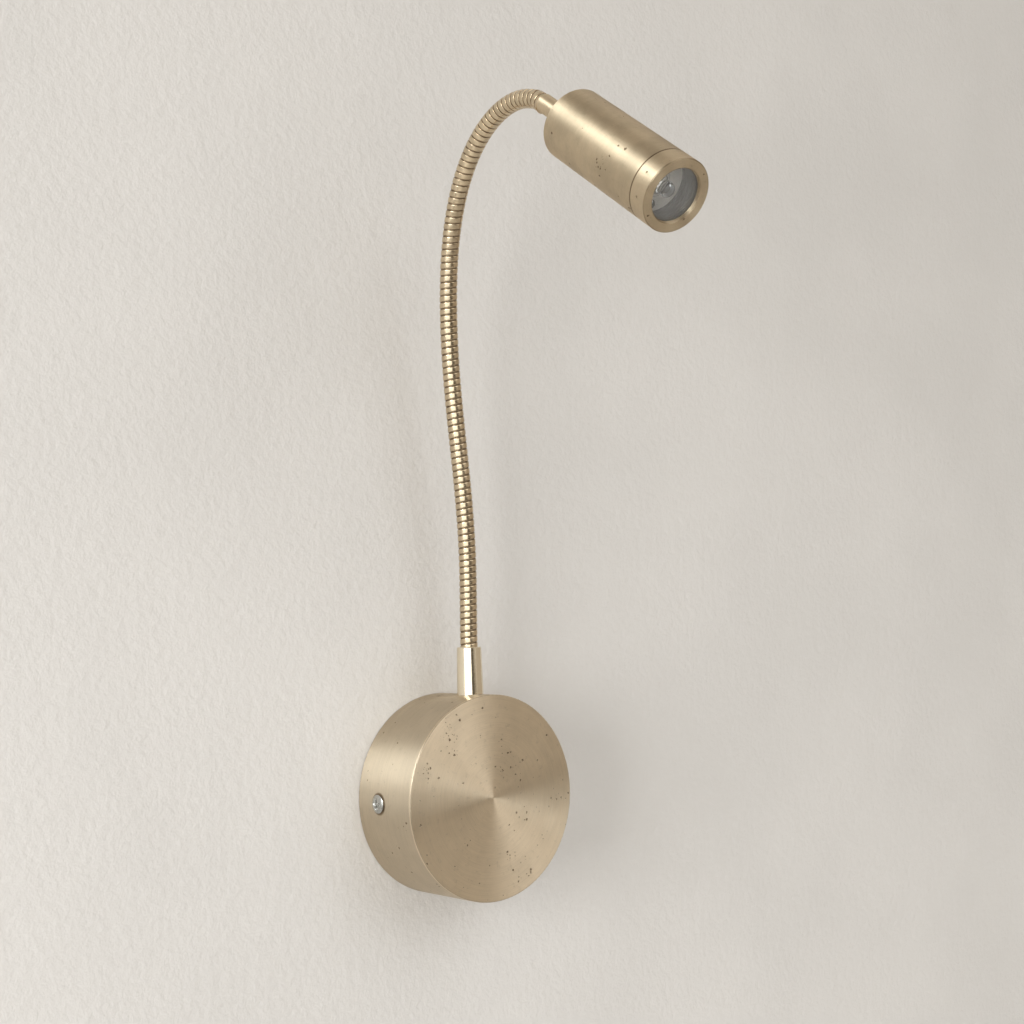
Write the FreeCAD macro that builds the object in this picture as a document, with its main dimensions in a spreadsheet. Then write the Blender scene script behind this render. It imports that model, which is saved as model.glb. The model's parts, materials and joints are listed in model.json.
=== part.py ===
import FreeCAD, Part
import Sketcher
import math
import os
import re

# Bedside wall reading lamp: a round canopy on the wall, a gooseneck and a small spot head.
# Millimetres. The wall is the plane y = 0, the room is on the -Y side, +Z is up.
# The origin is the middle of the two wall screws, on the wall, on the canopy's axis.

SIZES = (
    # canopy
    ("cover_diameter", 80.0),
    ("cover_depth", 34.0),
    ("cover_wall", 1.5),
    ("cover_face", 1.8),
    ("cover_edge", 0.4),
    ("plate_thickness", 1.2),
    ("plate_gap", 0.4),
    ("ear_width", 12.0),
    ("ear_height", 19.0),
    ("slot_spacing", 50.0),
    ("slot_length", 9.0),
    ("slot_width", 4.5),
    ("cable_hole", 8.0),
    ("bush_wall", 1.5),
    ("bush_flange", 15.0),
    ("bush_flange_height", 1.2),
    # screws of the cover
    ("screw_from_wall", 13.3),
    ("screw_thread", 4.0),
    ("screw_head", 7.2),
    ("screw_head_height", 1.3),
    ("screw_length", 8.0),
    # foot of the arm
    ("arm_from_wall", 21.1),
    ("ferrule_height", 18.7),
    ("ferrule_foot", 10.6),
    ("ferrule_top", 9.8),
    ("ferrule_edge", 0.3),
    ("saddle_depth", 1.0),
    ("nipple_diameter", 8.0),
    ("nipple_bore", 5.0),
    ("nipple_grip", 8.5),
    ("nipple_tail", 1.0),
    ("arm_washer_diameter", 15.0),
    ("arm_washer_thickness", 1.0),
    ("arm_nut_width", 12.0),
    ("arm_nut_height", 3.5),
    # driver and wiring
    ("driver_width", 40.0),
    ("driver_height", 18.0),
    ("driver_depth", 23.0),
    ("driver_top", 11.0),
    ("driver_edge", 1.5),
    ("pad_thickness", 1.0),
    ("block_width", 20.0),
    ("block_height", 15.0),
    ("block_depth", 12.0),
    ("block_bottom", 10.5),
    ("pole_pitch", 10.0),
    ("pole_tube", 3.8),
    ("pole_bore", 2.4),
    ("pole_screw", 2.5),
    ("pole_inset", 1.0),
    ("wire_diameter", 1.8),
    ("wire_shift", 4.0),
    ("wire_grip", 2.0),
    ("earth_across", 22.0),
    ("earth_up", 20.0),
    ("earth_thread", 3.0),
    ("earth_head", 6.0),
    ("earth_head_height", 2.4),
    ("earth_washer", 7.5),
    ("earth_washer_thickness", 0.6),
    ("lead_diameter", 2.6),
    ("lead_shift", 10.0),
    ("lead_corner", 14.0),
    # gooseneck
    ("neck_diameter", 7.0),
    ("neck_bore", 3.4),
    ("rib_pitch", 2.57),
    ("rib_crown", 1.45),
    ("groove_depth", 0.5),
    ("neck_seat", 9.0),
    ("neck_end_bevel", 0.2),
    ("joint_travel", 15.0),
    ("joint_gap", 0.05),
    ("spigot_diameter", 5.0),
    ("spigot_length", 6.0),
    # head
    ("collar_length", 20.2),
    ("collar_thread", 6.0),
    ("collar_thread_length", 7.4),
    ("head_washer_diameter", 11.0),
    ("head_washer_thickness", 0.8),
    ("head_nut_width", 10.0),
    ("head_nut_height", 3.0),
    ("head_diameter", 26.0),
    ("head_length", 62.6),
    ("head_wall", 1.3),
    ("head_back", 3.0),
    ("head_back_edge", 0.8),
    ("bezel_length", 7.9),
    ("bezel_seam", 0.2),
    ("bezel_spigot", 6.0),
    ("bezel_spigot_wall", 0.7),
    ("bezel_lip", 1.5),
    ("bezel_edge", 0.3),
    ("aperture", 18.9),
    ("glass_thickness", 1.5),
    ("gasket_thickness", 0.3),
    ("gasket_width", 0.9),
    ("spacer_wall", 0.7),
    ("board_to_glass", 8.8),
    ("board_thickness", 1.2),
    ("lens_diameter", 5.4),
    ("lens_height", 8.2),
    ("lens_foot", 7.4),
    ("lens_foot_height", 1.0),
    ("lens_room", 0.4),
    ("led_body_diameter", 5.0),
    ("led_body_height", 1.2),
    ("led_dome_diameter", 3.2),
    ("sink_length", 22.0),
    ("sink_groove", 1.6),
    ("sink_room", 0.2),
    ("wire_hole_offset", 6.5),
    ("wire_hole", 3.4),
    ("board_screw_offset", 7.6),
    ("board_screw_thread", 2.0),
    ("board_screw_head", 3.4),
    ("board_screw_head_height", 1.2),
    ("board_screw_depth", 4.0),
    ("board_tap_depth", 5.0),
    # running room between pieces that slip into each other, and round a screw in its hole
    ("slip", 0.05),
    ("screw_room", 0.2),
)

# The neck is wound from this many sections of four ribs; a hinge sits in the middle of each.
SECTIONS = 24
RIBS_PER_SECTION = 4
# Degrees of bend that one straight strip of the bore covers.
BORE_TURN = 9.0
# Dome of a pan head: shares of its radius and of its height, from the crown to the rim.
PAN_DOME = ((0.6, 1.0), (0.86, 0.75), (1.0, 0.35))
# Corners on the lens's round top, in degrees above its rim.
LENS_TOP = (0, 15, 30, 45, 60, 75)
# Share of a run that the bend at its corner takes.
BEND_SHARE = 0.45
# Corners of the live and neutral wires: shares of the way from the driver to the terminals.
WIRE_CORNERS = (0.4, 0.7)
# Corners of the lead in the head: share of the free run that stays straight at each end.
LEAD_STRAIGHT = 0.2
# Millimetres within which an edge counts as the wanted ring.
RING_TOLERANCE = 1e-4
# How many degrees one section bends, at equal steps from the ferrule to the collar:
# away from the wall, and to the left.
BEND_FORWARD = (2.7, -0.8, 0.0, 1.5, 2.7, 7.1, 13.8, 22.5)
BEND_LEFT = (0.3, 1.5, 0.6, -0.3, -0.2, -0.4, 0.6, 2.8)

doc = FreeCAD.newDocument("reading_lamp")
sheet = doc.addObject("Spreadsheet::Sheet", "sizes")
for row, (alias, number) in enumerate(SIZES, 1):
    sheet.set("A%d" % row, alias)
    sheet.set("B%d" % row, str(number))
    sheet.setAlias("B%d" % row, alias)
doc.recompute()
ALIASES = {alias for alias, _ in SIZES}

X = FreeCAD.Vector(1, 0, 0)
Z = FreeCAD.Vector(0, 0, 1)
ORIGIN = FreeCAD.Vector(0, 0, 0)
# Pieces on the wall are drawn lying down: their own z runs out of the wall, into the room.
ON_WALL = FreeCAD.Placement(ORIGIN, FreeCAD.Rotation(X, 90))
nodes = []


def size(text):
    """Number that an expression of the sheet's sizes gives."""
    return float(sheet.evalExpression(text))


def bound(text):
    """The same expression, as another object has to write it."""
    return re.sub("[a-z_]+", lambda word: "sizes." + word.group()
                  if word.group() in ALIASES else word.group(), text)


def new_body(node, placement=ON_WALL):
    body = doc.addObject("PartDesign::Body", node)
    body.Label = node
    body.Placement = placement
    nodes.append(body)
    return body


def sketch_on(body, role):
    sketch = body.newObject("Sketcher::SketchObject", body.Name + "_sketch")
    plane = [item for item in body.Origin.OriginFeatures if item.Role == role][0]
    sketch.AttachmentSupport = [(plane, "")]
    sketch.MapMode = "FlatFace"
    return sketch


def pin_down(sketch, geometry, point, across, up):
    """Tie one point of a sketch to two expressions, measured from the sketch's origin."""
    for kind, text in (("DistanceX", across), ("DistanceY", up)):
        rule = Sketcher.Constraint(kind, -1, 1, geometry, point, size(text))
        number = sketch.addConstraint(rule)
        sketch.setExpression("Constraints[%d]" % number, bound(text))


def outline(sketch, corners):
    """Closed outline of straight lines through corners, each a pair of expressions."""
    count = len(corners)
    first = sketch.GeometryCount
    points = [FreeCAD.Vector(size(across), size(up), 0) for across, up in corners]
    for index in range(count):
        line = Part.LineSegment(points[index], points[(index + 1) % count])
        sketch.addGeometry(line, False)
    for index in range(count):
        following = first + (index + 1) % count
        sketch.addConstraint(Sketcher.Constraint("Coincident", first + index, 2, following, 1))
    for index, (across, up) in enumerate(corners):
        pin_down(sketch, first + index, 1, across, up)


def circle(sketch, across, up, diameter):
    centre = FreeCAD.Vector(size(across), size(up), 0)
    number = sketch.addGeometry(Part.Circle(centre, Z, size(diameter) / 2), False)
    pin_down(sketch, number, 3, across, up)
    rule = Sketcher.Constraint("Diameter", number, size(diameter))
    sketch.setExpression("Constraints[%d]" % sketch.addConstraint(rule), bound(diameter))


def slot(sketch, across, up, length, width):
    """Slot along the sketch's x, with round ends."""
    half = "(%s)/2-(%s)/2" % (length, width)
    middle_x = size(across)
    middle_y = size(up)
    reach = size(half)
    radius = size(width) / 2
    ends = []
    for side in (1, -1):
        centre = FreeCAD.Vector(middle_x + side * reach, middle_y, 0)
        arc = Part.ArcOfCircle(Part.Circle(centre, Z, radius), -side * math.pi / 2,
                               math.pi - side * math.pi / 2)
        ends.append(sketch.addGeometry(arc, False))
    sides = []
    for side in (1, -1):
        start = FreeCAD.Vector(middle_x - reach, middle_y + side * radius, 0)
        end = FreeCAD.Vector(middle_x + reach, middle_y + side * radius, 0)
        sides.append(sketch.addGeometry(Part.LineSegment(start, end), False))
    right, left = ends
    top, bottom = sides
    for one, one_point, other, other_point in (
            (right, 2, top, 2), (top, 1, left, 1), (left, 2, bottom, 1), (bottom, 2, right, 1)):
        sketch.addConstraint(Sketcher.Constraint("Coincident", one, one_point, other, other_point))
    for line, side in ((top, "+"), (bottom, "-")):
        edge = "%s%s(%s)/2" % (up, side, width)
        pin_down(sketch, line, 1, "%s-(%s)" % (across, half), edge)
        pin_down(sketch, line, 2, "%s+(%s)" % (across, half), edge)
    for arc, side in ((right, "+"), (left, "-")):
        middle = "%s%s(%s)" % (across, side, half)
        rule = Sketcher.Constraint("DistanceX", -1, 1, arc, 3, size(middle))
        sketch.setExpression("Constraints[%d]" % sketch.addConstraint(rule), bound(middle))


def turned(node, corners, placement=ON_WALL):
    """Turned piece: a profile of (radius, height) corners swept round the body's own z."""
    body = new_body(node, placement)
    sketch = sketch_on(body, "XZ_Plane")
    outline(sketch, corners)
    sweep = body.newObject("PartDesign::Revolution", node + "_turned")
    sweep.Profile = sketch
    sweep.ReferenceAxis = (sketch, ["V_Axis"])
    sweep.Angle = 360
    doc.recompute()
    return body


def pad(body, sketch, height, start=None, backwards=False):
    """Raise a sketch by height, from a plane that start moves along the sketch's normal."""
    feature = body.newObject("PartDesign::Pad", body.Name + "_pad")
    feature.Profile = sketch
    feature.setExpression("Length", bound(height))
    feature.Reversed = backwards
    if start:
        sketch.setExpression("AttachmentOffset.Base.z", bound(start))
    doc.recompute()
    return feature


def cut(body, sketch, depth=None, both_ways=False, backwards=False):
    """Pocket that must take material away; without a depth it goes right through."""
    doc.recompute()
    before = body.Shape.Volume
    feature = body.newObject("PartDesign::Pocket", body.Name + "_cut")
    feature.Profile = sketch
    if depth is None:
        feature.Type = "ThroughAll"
    else:
        feature.setExpression("Length", bound(depth))
    if both_ways:
        feature.SideType = "Symmetric"
    feature.Reversed = backwards
    doc.recompute()
    if not body.Shape.Volume < before - 1e-6:
        raise ValueError("the cut in %s takes nothing away" % body.Name)
    return feature


def drill(body, role, places, diameter, depth=None, both_ways=False, backwards=False, start=None):
    """Round holes at places, square to one of the body's own planes."""
    sketch = sketch_on(body, role)
    if start:
        sketch.setExpression("AttachmentOffset.Base.z", bound(start))
    for across, up in places:
        circle(sketch, across, up, diameter)
    return cut(body, sketch, depth, both_ways, backwards)


def round_edges(body, radius, wanted):
    """Fillet the edges that wanted(edge) picks."""
    base = body.Tip
    names = ["Edge%d" % number for number, edge in enumerate(base.Shape.Edges, 1) if wanted(edge)]
    if not names:
        raise ValueError("no edge to round on %s" % body.Name)
    fillet = body.newObject("PartDesign::Fillet", body.Name + "_round")
    fillet.Base = (base, names)
    fillet.setExpression("Radius", bound(radius))
    doc.recompute()


def is_ring(edge, radius, height):
    """Whether an edge is a circle of this radius round the body's z, at this height."""
    if not hasattr(edge.Curve, "Radius"):
        return False
    off = max(abs(edge.Curve.Radius - radius), abs(edge.Curve.Center.z - height))
    return off < RING_TOLERANCE


def free_shape(node, shape, placement=FreeCAD.Placement()):
    """Piece whose form follows a path, which no sketch can hold."""
    feature = doc.addObject("Part::Feature", node)
    feature.Label = node
    feature.Shape = shape
    feature.Placement = placement
    nodes.append(feature)
    return feature


# ---------------------------------------------------------------------------
# Canopy

COVER_INSIDE = "(cover_diameter/2-cover_wall)"


def make_cover():
    """Cup with its mouth on the wall, a hole for the nipple on top and one at each side."""
    cover = turned("canopy_cover", (
        (COVER_INSIDE, "0"),
        ("cover_diameter/2", "0"),
        ("cover_diameter/2", "cover_depth"),
        ("0", "cover_depth"),
        ("0", "cover_depth-cover_face"),
        (COVER_INSIDE, "cover_depth-cover_face")))
    radius = size("cover_diameter/2")
    depth = size("cover_depth")
    round_edges(cover, "cover_edge", lambda edge: is_ring(edge, radius, depth))
    drill(cover, "YZ_Plane", (("0", "screw_from_wall"),), "screw_thread+screw_room", None, True)
    drill(cover, "XZ_Plane", (("0", "arm_from_wall"),), "nipple_diameter+screw_room")


def make_back_plate():
    """Steel disc on the wall with slots, cable hole, earth hole and two bent-up ears."""
    plate = new_body("back_plate")
    disc = sketch_on(plate, "XY_Plane")
    circle(disc, "0", "0", "2*(%s-plate_gap)" % COVER_INSIDE)
    pad(plate, disc, "plate_thickness")
    reach = "(sqrt((%s-plate_gap)^2-(ear_width/2)^2)-slip)" % COVER_INSIDE
    ears = sketch_on(plate, "XY_Plane")
    for side in ("", "-"):
        inner = "%s(%s-plate_thickness)" % (side, reach)
        outer = "%s%s" % (side, reach)
        outline(ears, (
            (inner, "-ear_width/2"),
            (outer, "-ear_width/2"),
            (outer, "ear_width/2"),
            (inner, "ear_width/2")))
    pad(plate, ears, "ear_height")
    slots = sketch_on(plate, "XY_Plane")
    for side in ("", "-"):
        slot(slots, "%sslot_spacing/2" % side, "0", "slot_length", "slot_width")
    cut(plate, slots, None, False, True)
    drill(plate, "XY_Plane", (("0", "0"),), "cable_hole+2*bush_wall+2*slip", None, False, True)
    drill(plate, "XY_Plane", (("earth_across", "earth_up"),), "earth_thread+2*slip", None,
          False, True)
    drill(plate, "YZ_Plane", (("0", "screw_from_wall"),), "screw_thread+2*slip", None, True)


def make_cable_bush():
    """Snap bush in the plate's cable hole, flush with the wall."""
    outer = "(cable_hole/2+bush_wall)"
    turned("cable_bush", (
        ("cable_hole/2", "0"),
        (outer, "0"),
        (outer, "plate_thickness"),
        ("bush_flange/2", "plate_thickness"),
        ("bush_flange/2", "plate_thickness+bush_flange_height"),
        ("cable_hole/2", "plate_thickness+bush_flange_height")))


def pan_screw(length, thread, head, height):
    """Profile of a screw along +z: the head's flat face is at z = 0, its dome below."""
    dome = [("%s*(%s)/2" % (across, head), "-%s*(%s)" % (up, height)) for across, up in PAN_DOME]
    return [("0", "-(%s)" % height)] + dome + [
        ("(%s)/2" % head, "0"),
        ("(%s)/2" % thread, "0"),
        ("(%s)/2" % thread, length),
        ("0", length)]


def make_cover_screws():
    """Pan-head screw through the cover's left side into the ear, and its mirror image."""
    body = new_body("cover_screws")
    sketch = sketch_on(body, "XZ_Plane")
    sketch.setExpression("AttachmentOffset.Base.y", bound("screw_from_wall"))
    profile = pan_screw("screw_length", "screw_thread", "screw_head", "screw_head_height")
    outline(sketch, [("(%s)-cover_diameter/2" % along, radius) for radius, along in profile])
    sweep = body.newObject("PartDesign::Revolution", "cover_screws_turned")
    sweep.Profile = sketch
    sweep.ReferenceAxis = (sketch, ["H_Axis"])
    sweep.Angle = 360
    doc.recompute()
    mirror = body.newObject("PartDesign::Mirrored", "cover_screws_mirrored")
    mirror.Originals = [sweep]
    plane = [item for item in body.Origin.OriginFeatures if item.Role == "YZ_Plane"][0]
    mirror.MirrorPlane = (plane, [""])
    body.Tip = mirror
    doc.recompute()


# ---------------------------------------------------------------------------
# Neck path

SECTION_LENGTH = RIBS_PER_SECTION * size("rib_pitch")


def between(steps, share):
    """Value at a share of the way along equal steps."""
    place = share * (len(steps) - 1)
    low = min(int(place), len(steps) - 2)
    return steps[low] + (steps[low + 1] - steps[low]) * (place - low)


def neck_sections():
    """Start frame, bend axis and bend of each section, and the frame at the neck's end."""
    frame = FreeCAD.Placement(
        FreeCAD.Vector(0, -size("arm_from_wall"), size("cover_diameter/2+ferrule_height")),
        FreeCAD.Rotation())
    found = []
    for number in range(SECTIONS):
        share = (number + 0.5) / SECTIONS
        forward = between(BEND_FORWARD, share)
        left = between(BEND_LEFT, share)
        bend = math.hypot(forward, left)
        axis = FreeCAD.Vector(forward / bend, -left / bend, 0)
        found.append((frame, axis, bend))
        frame = frame.multiply(along_arc(axis, bend, SECTION_LENGTH, 1.0))
    return found, frame


def along_arc(axis, bend, length, share):
    """Frame at a share of an arc that starts along z and bends round axis."""
    angle = math.radians(bend)
    radius = length / angle
    inward = axis.cross(Z)
    turn = FreeCAD.Rotation(axis, bend * share)
    place = inward * (radius * (1 - math.cos(angle * share))) + Z * (radius * math.sin(angle * share))
    return FreeCAD.Placement(place, turn)


SECTION_FRAMES, NECK_END = neck_sections()


def neck_frame(distance):
    """Frame on the neck's middle line at a distance from the ferrule's top."""
    number = min(max(int(distance / SECTION_LENGTH), 0), SECTIONS - 1)
    start, axis, bend = SECTION_FRAMES[number]
    share = distance / SECTION_LENGTH - number
    if distance < 0:
        return start.multiply(FreeCAD.Placement(Z * distance, FreeCAD.Rotation()))
    if distance > SECTIONS * SECTION_LENGTH:
        past = distance - SECTIONS * SECTION_LENGTH
        return NECK_END.multiply(FreeCAD.Placement(Z * past, FreeCAD.Rotation()))
    return start.multiply(along_arc(axis, bend, SECTION_LENGTH, share))


def ring_on_neck(distance, radius):
    frame = neck_frame(distance)
    normal = frame.Rotation.multVec(Z)
    ring = Part.Circle(frame.Base, normal, radius)
    ring.XAxis = frame.Rotation.multVec(X)
    return Part.Wire([ring.toShape()])


def ribbed(outside, low, high):
    """Hollow run of neck: ruled strips through the outside's rings and back down the bore."""
    core = size("neck_bore/2")
    start = neck_frame(low).Rotation.multVec(Z)
    turn = math.degrees(start.getAngle(neck_frame(high).Rotation.multVec(Z)))
    steps = 1 + int(turn / BORE_TURN)
    inside = [(high + (low - high) * step / steps, core) for step in range(steps + 1)]
    rings = [ring_on_neck(distance, radius) for distance, radius in outside + inside]
    return Part.makeLoft(rings, True, True, True)


def flank(radius):
    """How far a section's end stands back from its hinge at a radius, so that it can tip."""
    return radius * math.tan(math.radians(size("joint_travel") / 2)) + size("joint_gap")


def rib_rings(low, ribs):
    """Rings of a row of ribs: each rises from the groove, runs level and falls again."""
    pitch = size("rib_pitch")
    half_crown = size("rib_crown/2")
    crown = size("neck_diameter/2")
    groove = crown - size("groove_depth")
    rings = [(low, groove)]
    for rib in range(ribs):
        middle = low + (rib + 0.5) * pitch
        rings += [(middle - half_crown, crown), (middle + half_crown, crown),
                  (low + (rib + 1) * pitch, groove)]
    return rings


def make_neck():
    """Foot in the ferrule, the hinged sections, and the tip with its spigot in the collar."""
    half = SECTION_LENGTH / 2
    ribs = RIBS_PER_SECTION // 2
    crown = size("neck_diameter/2")
    spigot = size("spigot_diameter/2")
    gap = size("(rib_pitch-rib_crown)/2")
    end = flank(crown)
    end_inside = flank(size("neck_bore/2"))
    bevel = size("neck_end_bevel")
    seat = -size("neck_seat")
    outside = [(seat, crown), (-gap, crown)] + rib_rings(0, ribs)[:-2] + [(half - end, crown)]
    free_shape("neck_foot", ribbed(outside, seat + bevel, half - end_inside))
    for number in range(1, SECTIONS):
        low = (number - 0.5) * SECTION_LENGTH
        high = low + SECTION_LENGTH
        middle = rib_rings(low, RIBS_PER_SECTION)[2:-2]
        outside = [(low + end, crown)] + middle + [(high - end, crown)]
        free_shape("neck_%02d" % number, ribbed(outside, low + end_inside, high - end_inside))
    low = (SECTIONS - 0.5) * SECTION_LENGTH
    shoulder = SECTIONS * SECTION_LENGTH
    tip = shoulder + size("spigot_length")
    last_groove = (shoulder - bevel, crown - size("groove_depth"))
    outside = [(low + end, crown)] + rib_rings(low, ribs)[2:-1]
    outside += [last_groove, (shoulder, spigot), (tip, spigot)]
    free_shape("neck_tip", ribbed(outside, low + end_inside, tip - bevel))


# ---------------------------------------------------------------------------
# Foot of the arm

ON_ARM = FreeCAD.Placement(FreeCAD.Vector(0, -size("arm_from_wall"), 0), FreeCAD.Rotation())


def hexagon(sketch, width, hole):
    """Hexagon of a width across its flats, with a round hole."""
    reach = "(%s)/2/cos(30)" % width
    corners = []
    for cosine, sine in (("1", "0"), ("0.5", "0.8660254"), ("-0.5", "0.8660254"),
                         ("-1", "0"), ("-0.5", "-0.8660254"), ("0.5", "-0.8660254")):
        corners.append(("%s*%s" % (cosine, reach), "%s*%s" % (sine, reach)))
    outline(sketch, corners)
    circle(sketch, "0", "0", hole)


def make_arm_foot():
    """Tapered ferrule saddled on the cover, the nipple through both, its washer and nut."""
    top = "(cover_diameter/2+ferrule_height)"
    bottom = "(cover_diameter/2-saddle_depth)"
    neck_hole = "(neck_diameter/2+slip)"
    nipple_hole = "(nipple_diameter/2+slip)"
    ferrule = turned("arm_ferrule", (
        (nipple_hole, bottom),
        ("ferrule_foot/2", bottom),
        ("ferrule_top/2", "%s-ferrule_edge" % top),
        ("ferrule_top/2-ferrule_edge", top),
        (neck_hole, top),
        (neck_hole, "%s-neck_seat-slip" % top),
        ("nipple_bore/2", "%s-neck_seat-slip" % top),
        ("nipple_bore/2", "cover_diameter/2+nipple_grip+slip"),
        (nipple_hole, "cover_diameter/2+nipple_grip+slip")), ON_ARM)
    sketch = sketch_on(ferrule, "XZ_Plane")
    circle(sketch, "0", "0", "cover_diameter+2*slip")
    cut(ferrule, sketch, None, True)
    sag = "(%s-sqrt(%s^2-(arm_washer_diameter/2)^2))" % (COVER_INSIDE, COVER_INSIDE)
    washer_top = "(%s-%s-slip)" % (COVER_INSIDE, sag)
    washer_foot = "(%s-arm_washer_thickness)" % washer_top
    turned("arm_nipple", (
        ("nipple_bore/2", "%s-arm_nut_height-nipple_tail" % washer_foot),
        ("nipple_diameter/2", "%s-arm_nut_height-nipple_tail" % washer_foot),
        ("nipple_diameter/2", "cover_diameter/2+nipple_grip"),
        ("nipple_bore/2", "cover_diameter/2+nipple_grip")), ON_ARM)
    turned("arm_washer", (
        ("(nipple_diameter+screw_room)/2", washer_foot),
        ("arm_washer_diameter/2", washer_foot),
        ("arm_washer_diameter/2", washer_top),
        ("(nipple_diameter+screw_room)/2", washer_top)), ON_ARM)
    nut = new_body("arm_nut", ON_ARM)
    sketch = sketch_on(nut, "XY_Plane")
    hexagon(sketch, "arm_nut_width", "nipple_diameter+2*slip")
    pad(nut, sketch, "arm_nut_height", "%s-arm_nut_height" % washer_foot)


# ---------------------------------------------------------------------------
# Driver, terminals and wires in the canopy

def rectangle(sketch, left, right, low, high):
    outline(sketch, ((left, low), (right, low), (right, high), (left, high)))


BLOCK_TOP = "(plate_thickness+block_depth)"
POLE_OUT = "(plate_thickness+block_depth/2)"
POLES = ("-pole_pitch/2", "pole_pitch/2")
BLOCK_MIDDLE = "(block_bottom+block_height/2)"


def clamp_places():
    """Two clamping screws in each pole."""
    return [(pole, "%s%sblock_height/4" % (BLOCK_MIDDLE, side)) for pole in POLES for side in "+-"]


def make_driver():
    """Closed driver case below the cable hole, on a foam pad."""
    low = "-driver_top-driver_height"
    foam = new_body("driver_pad")
    sketch = sketch_on(foam, "XY_Plane")
    inset = "(2*driver_edge)"
    rectangle(sketch, "-driver_width/2+%s" % inset, "driver_width/2-%s" % inset,
              "%s+%s" % (low, inset), "-driver_top-%s" % inset)
    pad(foam, sketch, "pad_thickness", "plate_thickness")
    case = new_body("driver_case")
    sketch = sketch_on(case, "XY_Plane")
    rectangle(sketch, "-driver_width/2", "driver_width/2", low, "-driver_top")
    pad(case, sketch, "driver_depth", "plate_thickness+pad_thickness")
    round_edges(case, "driver_edge", lambda edge: abs(edge.tangentAt(edge.FirstParameter).z) > 0.99)


def make_terminals():
    """Two-pole block on the plate, its brass tubes and its clamping screws."""
    block = new_body("terminal_block")
    sketch = sketch_on(block, "XY_Plane")
    rectangle(sketch, "-block_width/2", "block_width/2", "block_bottom",
              "block_bottom+block_height")
    pad(block, sketch, "block_depth", "plate_thickness")
    poles = [(pole, POLE_OUT) for pole in POLES]
    drill(block, "XZ_Plane", poles, "pole_tube+2*slip", None, True)
    drill(block, "XY_Plane", clamp_places(), "pole_screw+screw_room", "block_depth/2",
          False, False, BLOCK_TOP)
    tubes = new_body("terminal_tubes")
    sketch = sketch_on(tubes, "XZ_Plane")
    for across, out in poles:
        circle(sketch, across, out, "pole_tube")
        circle(sketch, across, out, "pole_bore")
    pad(tubes, sketch, "block_height-2*pole_inset", "-(block_bottom+pole_inset)", True)
    drill(tubes, "XY_Plane", clamp_places(), "pole_screw+screw_room", "block_depth/2",
          False, False, BLOCK_TOP)
    screws = new_body("terminal_screws")
    sketch = sketch_on(screws, "XY_Plane")
    for across, up in clamp_places():
        circle(sketch, across, up, "pole_screw")
    pad(screws, sketch, "block_depth/2-pole_inset-wire_diameter/2-slip",
        "%s+wire_diameter/2+slip" % POLE_OUT)


def make_earth():
    """Earth screw in the plate, on a washer, for the mains cable's own earth core."""
    place = ON_WALL.multiply(FreeCAD.Placement(
        FreeCAD.Vector(size("earth_across"), size("earth_up"), size("plate_thickness")),
        FreeCAD.Rotation()))
    turned("earth_washer", (
        ("earth_thread/2+slip", "0"),
        ("earth_washer/2", "0"),
        ("earth_washer/2", "earth_washer_thickness"),
        ("earth_thread/2+slip", "earth_washer_thickness")), place)
    profile = pan_screw("earth_washer_thickness+plate_thickness", "earth_thread", "earth_head",
                        "earth_head_height")
    turned("earth_screw", [(radius, "earth_washer_thickness-(%s)" % along)
                           for radius, along in profile], place)


def rounded_run(points):
    """Straight runs joined by tangent arcs as large as the runs allow."""
    edges = []
    last = points[0]
    for before, corner, after in zip(points, points[1:], points[2:]):
        come = corner - before
        leave = after - corner
        half_turn = come.getAngle(leave) / 2
        reach = BEND_SHARE * min(come.Length, leave.Length)
        radius = reach / math.tan(half_turn)
        come.normalize()
        leave.normalize()
        start = corner - come * reach
        end = corner + leave * reach
        inward = (leave - come).normalize()
        middle = corner + inward * (radius / math.cos(half_turn) - radius)
        edges.append(Part.LineSegment(last, start).toShape())
        edges.append(Part.Arc(start, middle, end).toShape())
        print("bend radius %.1f mm" % radius)
        last = end
    edges.append(Part.LineSegment(last, points[-1]).toShape())
    return edges


def tube_along(edges, diameter):
    """Round tube along tangent edges; its volume is compared with section times length."""
    path = Part.Wire(edges)
    start = path.Vertexes[0].Point
    direction = edges[0].tangentAt(edges[0].FirstParameter)
    ring = Part.Wire([Part.Circle(start, direction, diameter / 2).toShape()])
    tube = path.makePipeShell([ring], True, False)
    expected = math.pi * diameter ** 2 / 4 * path.Length
    print("tube %.1f mm long, volume %.3f of section times length"
          % (path.Length, tube.Volume / expected))
    return tube


def on_wall(across, up, out):
    """Point in the canopy from expressions: to the right, up, and out of the wall."""
    return FreeCAD.Vector(size(across), -size(out), size(up))


def make_wires():
    """Live and neutral wires from the driver's top into the two poles."""
    low, high = ["-driver_top+%s*(driver_top+block_bottom)" % share for share in WIRE_CORNERS]
    for node, side in (("live_wire", "-"), ("neutral_wire", "")):
        far = "%s(pole_pitch/2+wire_shift)" % side
        near = "%spole_pitch/2" % side
        points = [on_wall(far, "-driver_top", POLE_OUT),
                  on_wall(far, low, POLE_OUT),
                  on_wall(near, high, POLE_OUT),
                  on_wall(near, "block_bottom+wire_grip", POLE_OUT)]
        free_shape(node, tube_along(rounded_run(points), size("wire_diameter")))


# ---------------------------------------------------------------------------
# Head

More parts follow.
